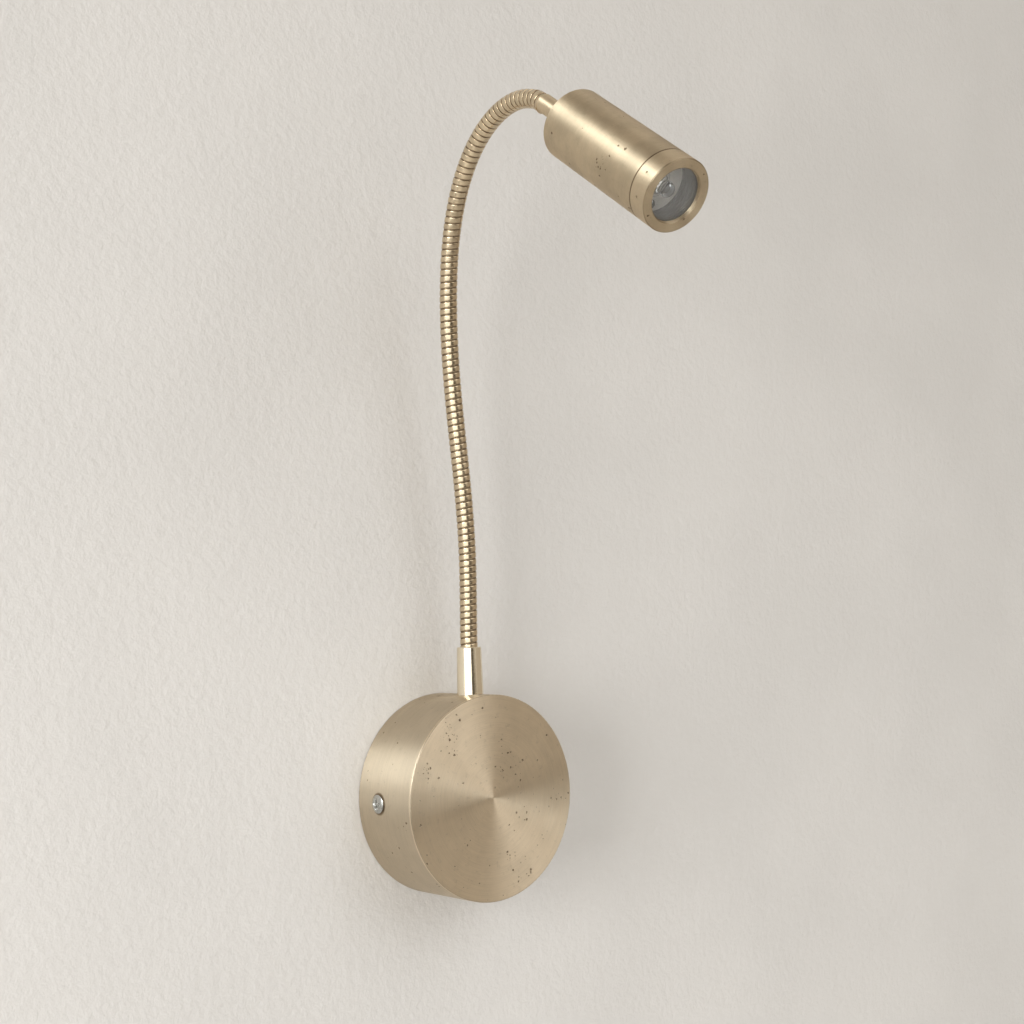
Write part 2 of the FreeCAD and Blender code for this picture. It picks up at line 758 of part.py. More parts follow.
ON_HEAD = NECK_END.multiply(FreeCAD.Placement(Z * size("collar_length"), FreeCAD.Rotation()))
SEAM = "(head_length-bezel_length)"
BARREL_INSIDE = "(head_diameter/2-head_wall)"
GLASS_FRONT = "(head_length-bezel_lip)"
GLASS_BACK = "(%s-glass_thickness)" % GLASS_FRONT
SPACER_FRONT = "(%s-gasket_thickness)" % GLASS_BACK
BOARD_FRONT = "(%s-board_to_glass)" % GLASS_BACK
SINK_FRONT = "(%s-board_thickness)" % BOARD_FRONT
SINK_BACK = "(%s-sink_length)" % SINK_FRONT
BEZEL_OUTSIDE = "(%s-slip)" % BARREL_INSIDE
BEZEL_INSIDE = "(%s-bezel_spigot_wall)" % BEZEL_OUTSIDE


def make_collar():
    """Plain sleeve over the neck's spigot, with a thread through the head's back."""
    spigot = "(spigot_diameter/2+slip)"
    turned("head_collar", (
        ("neck_bore/2", "-collar_length+spigot_length+slip"),
        (spigot, "-collar_length+spigot_length+slip"),
        (spigot, "-collar_length"),
        ("neck_diameter/2", "-collar_length"),
        ("neck_diameter/2", "0"),
        ("collar_thread/2", "0"),
        ("collar_thread/2", "collar_thread_length"),
        ("neck_bore/2", "collar_thread_length")), ON_HEAD)
    turned("head_washer", (
        ("collar_thread/2+2*slip", "head_back"),
        ("head_washer_diameter/2", "head_back"),
        ("head_washer_diameter/2", "head_back+head_washer_thickness"),
        ("collar_thread/2+2*slip", "head_back+head_washer_thickness")), ON_HEAD)
    nut = new_body("head_nut", ON_HEAD)
    sketch = sketch_on(nut, "XY_Plane")
    hexagon(sketch, "head_nut_width", "collar_thread+2*slip")
    pad(nut, sketch, "head_nut_height", "head_back+head_washer_thickness")


def make_barrel():
    """Turned tube with a thick back, and the bezel that screws into its mouth.

    The bezel's two front edges are chamfered."""
    barrel = turned("head_barrel", (
        ("collar_thread/2+slip", "0"),
        ("head_diameter/2", "0"),
        ("head_diameter/2", SEAM),
        (BARREL_INSIDE, SEAM),
        (BARREL_INSIDE, "head_back"),
        ("collar_thread/2+slip", "head_back")), ON_HEAD)
    round_edges(barrel, "head_back_edge", lambda edge: is_ring(edge, size("head_diameter/2"), 0))
    turned("bezel_ring", (
        (BEZEL_INSIDE, "%s-bezel_spigot" % SEAM),
        (BEZEL_OUTSIDE, "%s-bezel_spigot" % SEAM),
        (BEZEL_OUTSIDE, "%s+bezel_seam" % SEAM),
        ("head_diameter/2", "%s+bezel_seam" % SEAM),
        ("head_diameter/2", "head_length-bezel_edge"),
        ("head_diameter/2-bezel_edge", "head_length"),
        ("aperture/2+bezel_edge", "head_length"),
        ("aperture/2", "head_length-bezel_edge"),
        ("aperture/2", GLASS_FRONT),
        (BEZEL_INSIDE, GLASS_FRONT)), ON_HEAD)


def make_optics():
    """Glass, gasket and spacer tube, stacked behind the bezel's lip, and the LED's clear lens."""
    room = "(%s-slip)" % BEZEL_INSIDE
    turned("cover_glass", (
        ("0", GLASS_BACK),
        (room, GLASS_BACK),
        (room, GLASS_FRONT),
        ("0", GLASS_FRONT)), ON_HEAD)
    turned("glass_gasket", (
        ("%s-gasket_width" % room, SPACER_FRONT),
        (room, SPACER_FRONT),
        (room, GLASS_BACK),
        ("%s-gasket_width" % room, GLASS_BACK)), ON_HEAD)
    turned("spacer_tube", (
        ("%s-spacer_wall" % room, BOARD_FRONT),
        (room, BOARD_FRONT),
        (room, SPACER_FRONT),
        ("%s-spacer_wall" % room, SPACER_FRONT)), ON_HEAD)
    body_room = "(led_body_diameter/2+slip)"
    dome_room = "(led_dome_diameter/2+lens_room)"
    shoulder = "(%s+led_body_height+slip)" % BOARD_FRONT
    rim = "(%s+lens_height-lens_diameter/2)" % BOARD_FRONT
    top = [("lens_diameter/2*cos(%d)" % angle, "%s+lens_diameter/2*sin(%d)" % (rim, angle))
           for angle in LENS_TOP]
    turned("lens", [
        (body_room, BOARD_FRONT),
        ("lens_foot/2", BOARD_FRONT),
        ("lens_foot/2", "%s+lens_foot_height" % BOARD_FRONT),
        ("lens_diameter/2", "%s+lens_foot_height" % BOARD_FRONT)] + top + [
        ("0", "%s+lens_height" % BOARD_FRONT),
        ("0", "%s+%s" % (shoulder, dome_room)),
        (dome_room, "%s+led_dome_diameter/4" % shoulder),
        (dome_room, shoulder),
        (body_room, shoulder)], ON_HEAD)


def make_light_source():
    """Heat sink with a groove and a wire hole, LED board, its screws, and the LED."""
    sink = turned("heat_sink", (
        ("0", SINK_BACK),
        ("%s-slip" % BARREL_INSIDE, SINK_BACK),
        ("%s-slip" % BARREL_INSIDE, "%s+sink_length/3" % SINK_BACK),
        ("%s-sink_groove" % BARREL_INSIDE, "%s+sink_length/3" % SINK_BACK),
        ("%s-sink_groove" % BARREL_INSIDE, "%s+sink_length*2/3" % SINK_BACK),
        ("%s-slip" % BARREL_INSIDE, "%s+sink_length*2/3" % SINK_BACK),
        ("%s-slip" % BARREL_INSIDE, "%s-bezel_spigot-sink_room" % SEAM),
        ("%s-slip" % BEZEL_INSIDE, "%s-bezel_spigot-sink_room" % SEAM),
        ("%s-slip" % BEZEL_INSIDE, SINK_FRONT),
        ("0", SINK_FRONT)), ON_HEAD)
    drill(sink, "XY_Plane", (("wire_hole_offset", "0"),), "wire_hole", None, True)
    tapped = (("0", "board_screw_offset"), ("0", "-board_screw_offset"))
    drill(sink, "XY_Plane", tapped, "board_screw_thread+2*slip", "board_tap_depth",
          False, False, SINK_FRONT)
    board = new_body("led_board", ON_HEAD)
    sketch = sketch_on(board, "XY_Plane")
    circle(sketch, "0", "0", "2*(%s-2*slip)" % BEZEL_INSIDE)
    pad(board, sketch, "board_thickness", SINK_FRONT)
    drill(board, "XY_Plane", tapped, "board_screw_thread+2*slip", "board_thickness",
          False, False, BOARD_FRONT)
    screws = new_body("board_screws", ON_HEAD)
    sketch = sketch_on(screws, "XY_Plane")
    for across, up in tapped:
        circle(sketch, across, up, "board_screw_thread")
    pad(screws, sketch, "board_screw_depth+board_thickness", "%s-board_screw_depth" % SINK_FRONT)
    sketch = sketch_on(screws, "XY_Plane")
    for across, up in tapped:
        circle(sketch, across, up, "board_screw_head")
    pad(screws, sketch, "board_screw_head_height", BOARD_FRONT)
    turned("led_body", (
        ("0", BOARD_FRONT),
        ("led_body_diameter/2", BOARD_FRONT),
        ("led_body_diameter/2", "%s+led_body_height" % BOARD_FRONT),
        ("0", "%s+led_body_height" % BOARD_FRONT)), ON_HEAD)
    dome = new_body("led_dome", ON_HEAD)
    sketch = sketch_on(dome, "XZ_Plane")
    sketch.setExpression("AttachmentOffset.Base.y", bound("%s+led_body_height" % BOARD_FRONT))
    radius = size("led_dome_diameter/2")
    corner = FreeCAD.Vector(radius, 0, 0)
    top = FreeCAD.Vector(0, radius, 0)
    arc = sketch.addGeometry(Part.ArcOfCircle(Part.Circle(ORIGIN, Z, radius), 0, math.pi / 2), False)
    floor = sketch.addGeometry(Part.LineSegment(ORIGIN, corner), False)
    core = sketch.addGeometry(Part.LineSegment(top, ORIGIN), False)
    for one, one_point, other, other_point in (
            (arc, 1, floor, 2), (arc, 2, core, 1), (core, 2, floor, 1), (arc, 3, floor, 1)):
        sketch.addConstraint(Sketcher.Constraint("Coincident", one, one_point, other, other_point))
    sketch.addConstraint(Sketcher.Constraint("Coincident", floor, 1, -1, 1))
    sketch.addConstraint(Sketcher.Constraint("Horizontal", floor))
    sketch.addConstraint(Sketcher.Constraint("Vertical", core))
    rule = sketch.addConstraint(Sketcher.Constraint("Radius", arc, radius))
    sketch.setExpression("Constraints[%d]" % rule, bound("led_dome_diameter/2"))
    sweep = dome.newObject("PartDesign::Revolution", "led_dome_turned")
    sweep.Profile = sketch
    sweep.ReferenceAxis = (sketch, ["V_Axis"])
    sweep.Angle = 360
    doc.recompute()


def make_lead():
    """The lamp's lead: driver, nipple, neck, collar, heat sink, back of the LED board."""
    foot = [on_wall("lead_shift", "-driver_top", "arm_from_wall"),
            on_wall("lead_shift", "0", "arm_from_wall"),
            on_wall("0", "lead_corner", "arm_from_wall"),
            on_wall("0", "cover_diameter/2+ferrule_height", "arm_from_wall")]
    edges = rounded_run(foot)
    for start, axis, bend in SECTION_FRAMES:
        marks = [start.multiply(along_arc(axis, bend, SECTION_LENGTH, share)).Base
                 for share in (0, 0.5, 1)]
        edges.append(Part.Arc(*marks).toShape())
    shift = size("wire_hole_offset")
    straight = LEAD_STRAIGHT * (size(SINK_BACK) - size("collar_thread_length"))
    head = [FreeCAD.Vector(0, 0, -size("collar_length")),
            FreeCAD.Vector(0, 0, size("collar_thread_length") + straight),
            FreeCAD.Vector(shift, 0, size(SINK_BACK) - straight),
            FreeCAD.Vector(shift, 0, size(SINK_FRONT))]
    edges += rounded_run([ON_HEAD.multVec(point) for point in head])
    free_shape("lamp_lead", tube_along(edges, size("lead_diameter")))


def check_and_write():
    """Every object must be sound before any file is written."""
    for item in doc.Objects:
        if "Invalid" in item.State or "Error" in item.State:
            raise ValueError("%s failed: %s" % (item.Name, item.State))
    for node in nodes:
        if node.Shape.isNull() or not node.Shape.isValid() or not node.Shape.Solids:
            raise ValueError("%s has no sound solid" % node.Label)
    os.makedirs("parts", exist_ok=True)
    for node in nodes:
        node.Shape.exportStep("parts/%s.step" % node.Label)
    print("%d nodes, %d solids" % (len(nodes), sum(len(node.Shape.Solids) for node in nodes)))


make_cover()
make_back_plate()
make_cable_bush()
make_cover_screws()
make_arm_foot()
make_driver()
make_terminals()
make_earth()
make_wires()
make_neck()
make_collar()
make_barrel()
make_optics()
make_light_source()
make_lead()
doc.recompute()
check_and_write()
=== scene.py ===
import json
import math

import bmesh
import bpy
import numpy as np
from bpy.props import FloatProperty, FloatVectorProperty, IntProperty, PointerProperty
from mathutils import Matrix, Vector


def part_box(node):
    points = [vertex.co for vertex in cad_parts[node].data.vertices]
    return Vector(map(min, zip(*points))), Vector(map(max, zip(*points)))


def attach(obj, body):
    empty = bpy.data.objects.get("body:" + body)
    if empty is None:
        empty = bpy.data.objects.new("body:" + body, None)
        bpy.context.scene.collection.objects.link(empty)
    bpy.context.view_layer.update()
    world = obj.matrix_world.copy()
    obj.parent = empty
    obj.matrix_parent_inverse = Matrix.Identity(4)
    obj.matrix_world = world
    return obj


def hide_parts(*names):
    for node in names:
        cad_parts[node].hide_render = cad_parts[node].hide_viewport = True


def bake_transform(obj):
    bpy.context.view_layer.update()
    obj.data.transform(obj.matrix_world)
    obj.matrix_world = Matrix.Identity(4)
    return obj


# Bedside wall reading lamp: the finishes, the wound gooseneck, the lead, the screws and the
# studio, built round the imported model. Metres; the wall is y = 0, the room is on the -Y side.

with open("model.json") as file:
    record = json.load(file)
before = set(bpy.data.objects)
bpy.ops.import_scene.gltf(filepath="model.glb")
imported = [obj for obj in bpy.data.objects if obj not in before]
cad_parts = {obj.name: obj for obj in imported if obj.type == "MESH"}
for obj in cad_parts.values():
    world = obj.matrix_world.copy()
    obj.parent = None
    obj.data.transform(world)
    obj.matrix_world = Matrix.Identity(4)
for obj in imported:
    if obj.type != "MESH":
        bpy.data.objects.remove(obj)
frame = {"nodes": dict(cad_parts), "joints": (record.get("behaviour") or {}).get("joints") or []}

bl_info = {
    "name": "Bedside wall reading lamp",
    "version": (1, 0, 0),
    "blender": (4, 5, 0),
    "location": "3D View > Sidebar > Reading lamp",
    "description": "Brushed brass wall lamp with a wound gooseneck",
    "category": "Object",
}

MM = 0.001
WALL_AXIS = Vector((0.0, -1.0, 0.0))
TURNS = 4  # turns of the winding from one hinge of the neck to the next
LEAD_COLUMNS = 16  # points round the lead


# ---------------------------------------------------------------------------
# Places read from the frame

def middle(name):
    """Middle of the box round a CAD node."""
    low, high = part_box(name)
    return (low + high) / 2


def node_points(name):
    """All corners of a CAD node's mesh."""
    mesh = frame["nodes"][name].data
    flat = np.empty(len(mesh.vertices) * 3)
    mesh.vertices.foreach_get("co", flat)
    return flat.reshape(-1, 3)


def head_place():
    """A point on the head's axis, in the washer, and the axis, towards the glass."""
    washer = middle("head_washer")
    return washer, (middle("cover_glass") - washer).normalized()


def reach_along(name, centre, axis):
    """Lowest and highest place of a node along an axis, and its largest distance from it."""
    away = node_points(name) - np.array(centre)
    along = away @ np.array(axis)
    radius = np.linalg.norm(away - np.outer(along, axis), axis=1)
    return along.min(), along.max(), radius.max()


# ---------------------------------------------------------------------------
# Sizes and colours that a user would change

class LampColours(bpy.types.PropertyGroup):
    brass: FloatVectorProperty(
        name="Brass", description="Brushed brass of the canopy cover",
        subtype="COLOR", size=3, min=0.0, max=1.0, default=(0.77, 0.65, 0.485))
    aged_brass: FloatVectorProperty(
        name="Aged brass", description="Browner brass of the head and the neck",
        subtype="COLOR", size=3, min=0.0, max=1.0, default=(0.66, 0.54, 0.375))
    bright_brass: FloatVectorProperty(
        name="Polished brass", description="Polished brass of the ferrule",
        subtype="COLOR", size=3, min=0.0, max=1.0, default=(0.88, 0.79, 0.62))
    # Dark brown for the tarnish in pits, grooves and at edges, and for the painted contact
    # shadow round the cover screws.
    tarnish: FloatVectorProperty(
        name="Tarnish", description="Brown tarnish in pits, in grooves and at edges",
        subtype="COLOR", size=3, min=0.0, max=1.0, default=(0.11, 0.06, 0.025))
    satin: FloatProperty(
        name="Satin", description="Roughness of the brushed brass",
        subtype="FACTOR", min=0.0, max=1.0, default=0.42)
    brush_stretch: FloatProperty(
        name="Brush stretch", description="How far the turning marks stretch a highlight",
        subtype="FACTOR", min=0.0, max=1.0, default=0.9)
    pits: FloatProperty(
        name="Pits", description="Share of places that hold a tarnished pit",
        subtype="FACTOR", min=0.0, max=1.0, default=0.035)
    board: FloatVectorProperty(
        name="Board", description="Solder mask of the LED board",
        subtype="COLOR", size=3, min=0.0, max=1.0, default=(0.93, 0.89, 0.82))
    spacer: FloatVectorProperty(
        name="Spacer", description="Dark anodised skin of the tube behind the glass",
        subtype="COLOR", size=3, min=0.0, max=1.0, default=(0.13, 0.125, 0.12))


class NeckSizes(bpy.types.PropertyGroup):
    pitch: FloatProperty(
        name="Pitch", description="Distance from one turn of the winding to the next",
        unit="LENGTH", min=1 * MM, max=6 * MM, default=2.57 * MM)
    diameter: FloatProperty(
        name="Diameter", description="Outside of the round wire's turns",
        unit="LENGTH", min=3 * MM, max=20 * MM, default=7.0 * MM)
    bore: FloatProperty(
        name="Bore", description="Hole for the lead",
        unit="LENGTH", min=1 * MM, max=10 * MM, default=3.4 * MM)
    groove: FloatProperty(
        name="Groove", description="Depth of the gap between round wire and wedge wire",
        unit="LENGTH", min=0.1 * MM, max=1.5 * MM, default=0.45 * MM)
    wedge_drop: FloatProperty(
        name="Wedge drop", description="How far the wedge wire lies below the round wire",
        unit="LENGTH", min=0.0, max=1.0 * MM, default=0.26 * MM)
    round_share: FloatProperty(
        name="Round wire", description="Share of the pitch that the round wire takes",
        subtype="FACTOR", min=0.4, max=0.9, default=0.78)
    crown: FloatProperty(
        name="Crown", description="Flatness of the round wire's crown; 2 is an ellipse",
        min=1.5, max=12.0, default=8.0)
    seat: FloatProperty(
        name="Seat", description="Length of neck inside the ferrule",
        unit="LENGTH", min=1 * MM, max=20 * MM, default=9.0 * MM)
    spigot: FloatProperty(
        name="Spigot", description="Length of neck inside the collar",
        unit="LENGTH", min=1 * MM, max=20 * MM, default=6.0 * MM)
    columns: IntProperty(
        name="Columns", description="Points round the neck", min=12, max=200, default=56)


class LeadSizes(bpy.types.PropertyGroup):
    diameter: FloatProperty(
        name="Diameter", description="Outside of the lamp's lead",
        unit="LENGTH", min=1 * MM, max=5 * MM, default=2.6 * MM)
    jacket: FloatVectorProperty(
        name="Jacket", description="Colour of the lead's silicone jacket",
        subtype="COLOR", size=3, min=0.0, max=1.0, default=(0.72, 0.71, 0.68))


class LensSizes(bpy.types.PropertyGroup):
    diameter: FloatProperty(
        name="Diameter", description="Outside of the clear lens over the LED",
        unit="LENGTH", min=3 * MM, max=12 * MM, default=5.4 * MM)
    foot: FloatProperty(
        name="Foot", description="Outside of the flange on the board",
        unit="LENGTH", min=4 * MM, max=16 * MM, default=7.4 * MM)
    foot_height: FloatProperty(
        name="Foot height", description="Thickness of the flange",
        unit="LENGTH", min=0.3 * MM, max=3 * MM, default=1.0 * MM)
    pocket: FloatProperty(
        name="Pocket", description="Pocket round the LED's body",
        unit="LENGTH", min=2 * MM, max=10 * MM, default=5.1 * MM)
    dome_pocket: FloatProperty(
        name="Dome pocket", description="Pocket round the LED's dome",
        unit="LENGTH", min=1 * MM, max=8 * MM, default=4.0 * MM)
    dome_height: FloatProperty(
        name="Dome height", description="Straight height of the pocket round the dome",
        unit="LENGTH", min=0.2 * MM, max=4 * MM, default=0.8 * MM)
    cone_height: FloatProperty(
        name="Cone height", description="Height of the pocket's pointed top",
        unit="LENGTH", min=0.2 * MM, max=4 * MM, default=1.2 * MM)


class StudioSettings(bpy.types.PropertyGroup):
    wall: FloatVectorProperty(
        name="Wall", description="Plaster of the wall and the floor",
        subtype="COLOR", size=3, min=0.0, max=1.0, default=(0.70, 0.695, 0.685))
    camera_place: FloatVectorProperty(
        name="Camera place", description="Where the camera stands",
        subtype="XYZ", unit="LENGTH", size=3, default=(-0.38597, -0.51636, 0.07037))
    camera_azimuth: FloatProperty(
        name="Azimuth", description="Turn of the view; 0 looks along +Y",
        unit="ROTATION", default=math.radians(-39.64))
    camera_height: FloatProperty(
        name="Elevation", description="How far the view looks down",
        unit="ROTATION", default=math.radians(-3.80))
    camera_roll: FloatProperty(
        name="Roll", description="Tilt of the camera",
        unit="ROTATION", default=math.radians(-1.714))
    lens: FloatProperty(
        name="Lens", description="Focal length in millimetres on a 36 mm sensor",
        min=10.0, max=200.0, default=55.17)
    key_power: FloatProperty(
        name="Window", description="Power of the window that the metal reflects",
        unit="POWER", min=0.0, max=500.0, default=32.0)
    room_power: FloatProperty(
        name="Left room", description="Power of the wide light on the left, for the metal",
        unit="POWER", min=0.0, max=500.0, default=16.0)
    wash_power: FloatProperty(
        name="Wall wash", description="Power of the soft light on the wall, from the left",
        unit="POWER", min=0.0, max=500.0, default=27.0)
    bounce_power: FloatProperty(
        name="Front bounce", description="Power of the weak light in front of the lamp head",
        unit="POWER", min=0.0, max=50.0, default=1.1)
    sky_power: FloatProperty(
        name="Room light", description="Strength of the light from the room all round",
        min=0.0, max=5.0, default=1.0)


class LampSettings(bpy.types.PropertyGroup):
    colours: PointerProperty(type=LampColours)
    neck: PointerProperty(type=NeckSizes)
    lead: PointerProperty(type=LeadSizes)
    lens: PointerProperty(type=LensSizes)
    studio: PointerProperty(type=StudioSettings)


# ---------------------------------------------------------------------------
# Meshes from grids of points

def grid_mesh(name, points, ring=True, closed=False, values=None):
    """Mesh over a grid of points [row, column, xyz]. With ring the last column joins the
    first, with closed the last row joins the first. Equal points are welded, and values is
    a number for each point, kept as the attribute "depth"."""
    rows, columns = points.shape[:2]
    index = np.arange(rows * columns).reshape(rows, columns)
    if ring:
        index = np.hstack([index, index[:, :1]])
    if closed:
        index = np.vstack([index, index[:1]])
    quads = np.stack([index[:-1, :-1], index[:-1, 1:], index[1:, 1:], index[1:, :-1]], axis=-1)
    mesh = bpy.data.meshes.new(name)
    mesh.from_pydata(points.reshape(-1, 3), [], quads.reshape(-1, 4))
    if values is not None:
        depth = mesh.attributes.new("depth", "FLOAT", "POINT")
        depth.data.foreach_set("value", np.asarray(values, np.float32).ravel())
    shell = bmesh.new()
    shell.from_mesh(mesh)
    bmesh.ops.remove_doubles(shell, verts=shell.verts, dist=2e-6)
    shell.to_mesh(mesh)
    shell.free()
    mesh.polygons.foreach_set("use_smooth", np.ones(len(mesh.polygons), bool))
    return mesh


def new_piece(name, mesh, material):
    piece = bpy.data.objects.new(name, mesh)
    bpy.context.scene.collection.objects.link(piece)
    mesh.materials.append(material)
    return piece


def crease(mesh, degrees):
    """Keep edges sharp where two faces meet at more than an angle."""
    mesh.set_sharp_from_angle(angle=math.radians(degrees))


def cross_axes(axis):
    """Two directions square to an axis, so that the three are right-handed."""
    axis = Vector(axis).normalized()
    side = Vector((0.0, 0.0, 1.0)) if abs(axis.z) < 0.9 else Vector((1.0, 0.0, 0.0))
    first = side.cross(axis).normalized()
    return first, axis.cross(first)


def round_grid(centre, axis, radii, heights, columns):
    """Points of a turned form: row by row the radius and the height along the axis; either
    may be a number for each column as well."""
    across, up = cross_axes(axis)
    angle = np.arange(columns) * (2 * np.pi / columns)
    radii = np.broadcast_to(np.asarray(radii, float).reshape(len(radii), -1),
                            (len(radii), columns))
    heights = np.broadcast_to(np.asarray(heights, float).reshape(len(heights), -1),
                              (len(heights), columns))
    return (np.array(centre)
            + radii[..., None] * (np.cos(angle)[:, None] * np.array(across)
                                  + np.sin(angle)[:, None] * np.array(up))
            + heights[..., None] * np.array(axis))


# ---------------------------------------------------------------------------
# Shader helpers

def put(tree, socket, value):
    if isinstance(value, bpy.types.NodeSocket):
        tree.links.new(value, socket)
    else:
        socket.default_value = value


def add_node(tree, kind, inputs=None, **settings):
    """New node with its settings, and its inputs set or linked by name or number."""
    node = tree.nodes.new(kind)
    for name, value in settings.items():
        setattr(node, name, value)
    for name, value in (inputs or {}).items():
        put(tree, node.inputs[name], value)
    return node


def calc(tree, operation, *values):
    """Result of a Math node."""
    return add_node(tree, "ShaderNodeMath", dict(enumerate(values)),
                    operation=operation).outputs[0]


def reckon(tree, operation, *values, scale=None):
    """Result of a Vector Math node."""
    inputs = {number: tuple(value) if isinstance(value, Vector) else value
              for number, value in enumerate(values)}
    if scale is not None:
        inputs["Scale"] = scale
    node = add_node(tree, "ShaderNodeVectorMath", inputs, operation=operation)
    single = operation in ("DOT_PRODUCT", "LENGTH", "DISTANCE")
    return node.outputs["Value" if single else "Vector"]


def ease(tree, value, low, high, start=0.0, end=1.0):
    """Smooth step of a value from start, below low, to end, above high."""
    return add_node(tree, "ShaderNodeMapRange",
                    {"Value": value, "From Min": low, "From Max": high,
                     "To Min": start, "To Max": end},
                    interpolation_type="SMOOTHSTEP").outputs["Result"]


def blend_colours(tree, share, first, second):
    """Mix of two colours; a share of 0 gives the first."""
    node = tree.nodes.new("ShaderNodeMix")
    node.data_type = "RGBA"
    put(tree, node.inputs["Factor"], share)
    for socket, value in ((node.inputs[6], first), (node.inputs[7], second)):
        put(tree, socket, value if isinstance(value, bpy.types.NodeSocket) else (*value, 1.0))
    return node.outputs[2]


def shade(colour, factor):
    return tuple(min(1.0, channel * factor) for channel in colour)


def new_material(name, **constants):
    """Material with one Principled shader whose constant sockets are set by name."""
    material = bpy.data.materials.new(name)
    material.use_nodes = True
    tree = material.node_tree
    shader = tree.nodes["Principled BSDF"]
    for socket, value in constants.items():
        shader.inputs[socket.replace("_", " ")].default_value = value
    return material, tree, shader


def object_place(tree):
    return add_node(tree, "ShaderNodeTexCoord").outputs["Object"]


def noise(tree, place, scale, detail=2.0, rough=0.5):
    return add_node(tree, "ShaderNodeTexNoise",
                    {"Vector": place, "Scale": scale, "Detail": detail,
                     "Roughness": rough}).outputs["Fac"]


def bump(tree, height, distance, strength=1.0, normal=None):
    inputs = {"Height": height, "Distance": distance, "Strength": strength}
    if normal is not None:
        inputs["Normal"] = normal
    return add_node(tree, "ShaderNodeBump", inputs).outputs["Normal"]


def lathe(tree, centre, axis):
    """Coordinates of a turned piece: distance along its axis, distance from it, the unit
    direction outwards and the direction round it."""
    away = reckon(tree, "SUBTRACT", object_place(tree), centre)
    along = reckon(tree, "DOT_PRODUCT", away, axis)
    core = reckon(tree, "SCALE", axis, scale=along)
    radial = reckon(tree, "SUBTRACT", away, core)
    radius = reckon(tree, "LENGTH", radial)
    outward = reckon(tree, "NORMALIZE", radial)
    around = reckon(tree, "CROSS_PRODUCT", axis, outward)
    return along, radius, outward, around


def turning_marks(tree, axis, along, radius, outward, width, length):
    """Noise drawn out round the axis: marks of a width, that change within a length of arc
    of one radian."""
    travel = calc(tree, "MULTIPLY", calc(tree, "ADD", along, radius), 1.0 / width)
    place = reckon(tree, "ADD", reckon(tree, "SCALE", outward, scale=1.0 / length),
                   reckon(tree, "SCALE", axis, scale=travel))
    return noise(tree, place, 1.0, 3.0, 0.6)


def pit_mask(tree, share, patches):
    """1 in small ragged spots, and how crowded they are. One cell of the Voronoi pattern in
    1/share holds a spot, and more of them near the patches, each a (centre, radius, share)."""
    cell = 1.3 * MM
    place = object_place(tree)
    wobble = reckon(tree, "SCALE", add_node(
        tree, "ShaderNodeTexNoise", {"Vector": place, "Scale": 2200.0}).outputs["Color"],
        scale=0.8 * MM)
    cells = add_node(tree, "ShaderNodeTexVoronoi",
                     {"Vector": reckon(tree, "ADD", place, wobble), "Scale": 1.0 / cell})
    chance = share
    for centre, radius, local_share in patches:
        near = reckon(tree, "DISTANCE", place, centre)
        local = ease(tree, near, 0.35 * radius, radius, local_share, 0.0)
        chance = calc(tree, "MAXIMUM", chance, local)
    random = add_node(tree, "ShaderNodeSeparateColor", {0: cells.outputs["Color"]})
    chosen = calc(tree, "LESS_THAN", random.outputs[0], chance)
    width = calc(tree, "MULTIPLY_ADD", random.outputs[1], 0.34, 0.16)
    inside = calc(tree, "SUBTRACT", width, cells.outputs["Distance"])
    spot = ease(tree, inside, 0.0, 0.12)
    ragged = ease(tree, noise(tree, place, 3800.0, 3.0, 0.7), 0.32, 0.5)
    spots = calc(tree, "MULTIPLY", calc(tree, "MULTIPLY", spot, chosen), ragged)
    return spots, calc(tree, "SUBTRACT", chance, share)


# ---------------------------------------------------------------------------
# Finishes

def lamp():
    return bpy.context.scene.reading_lamp


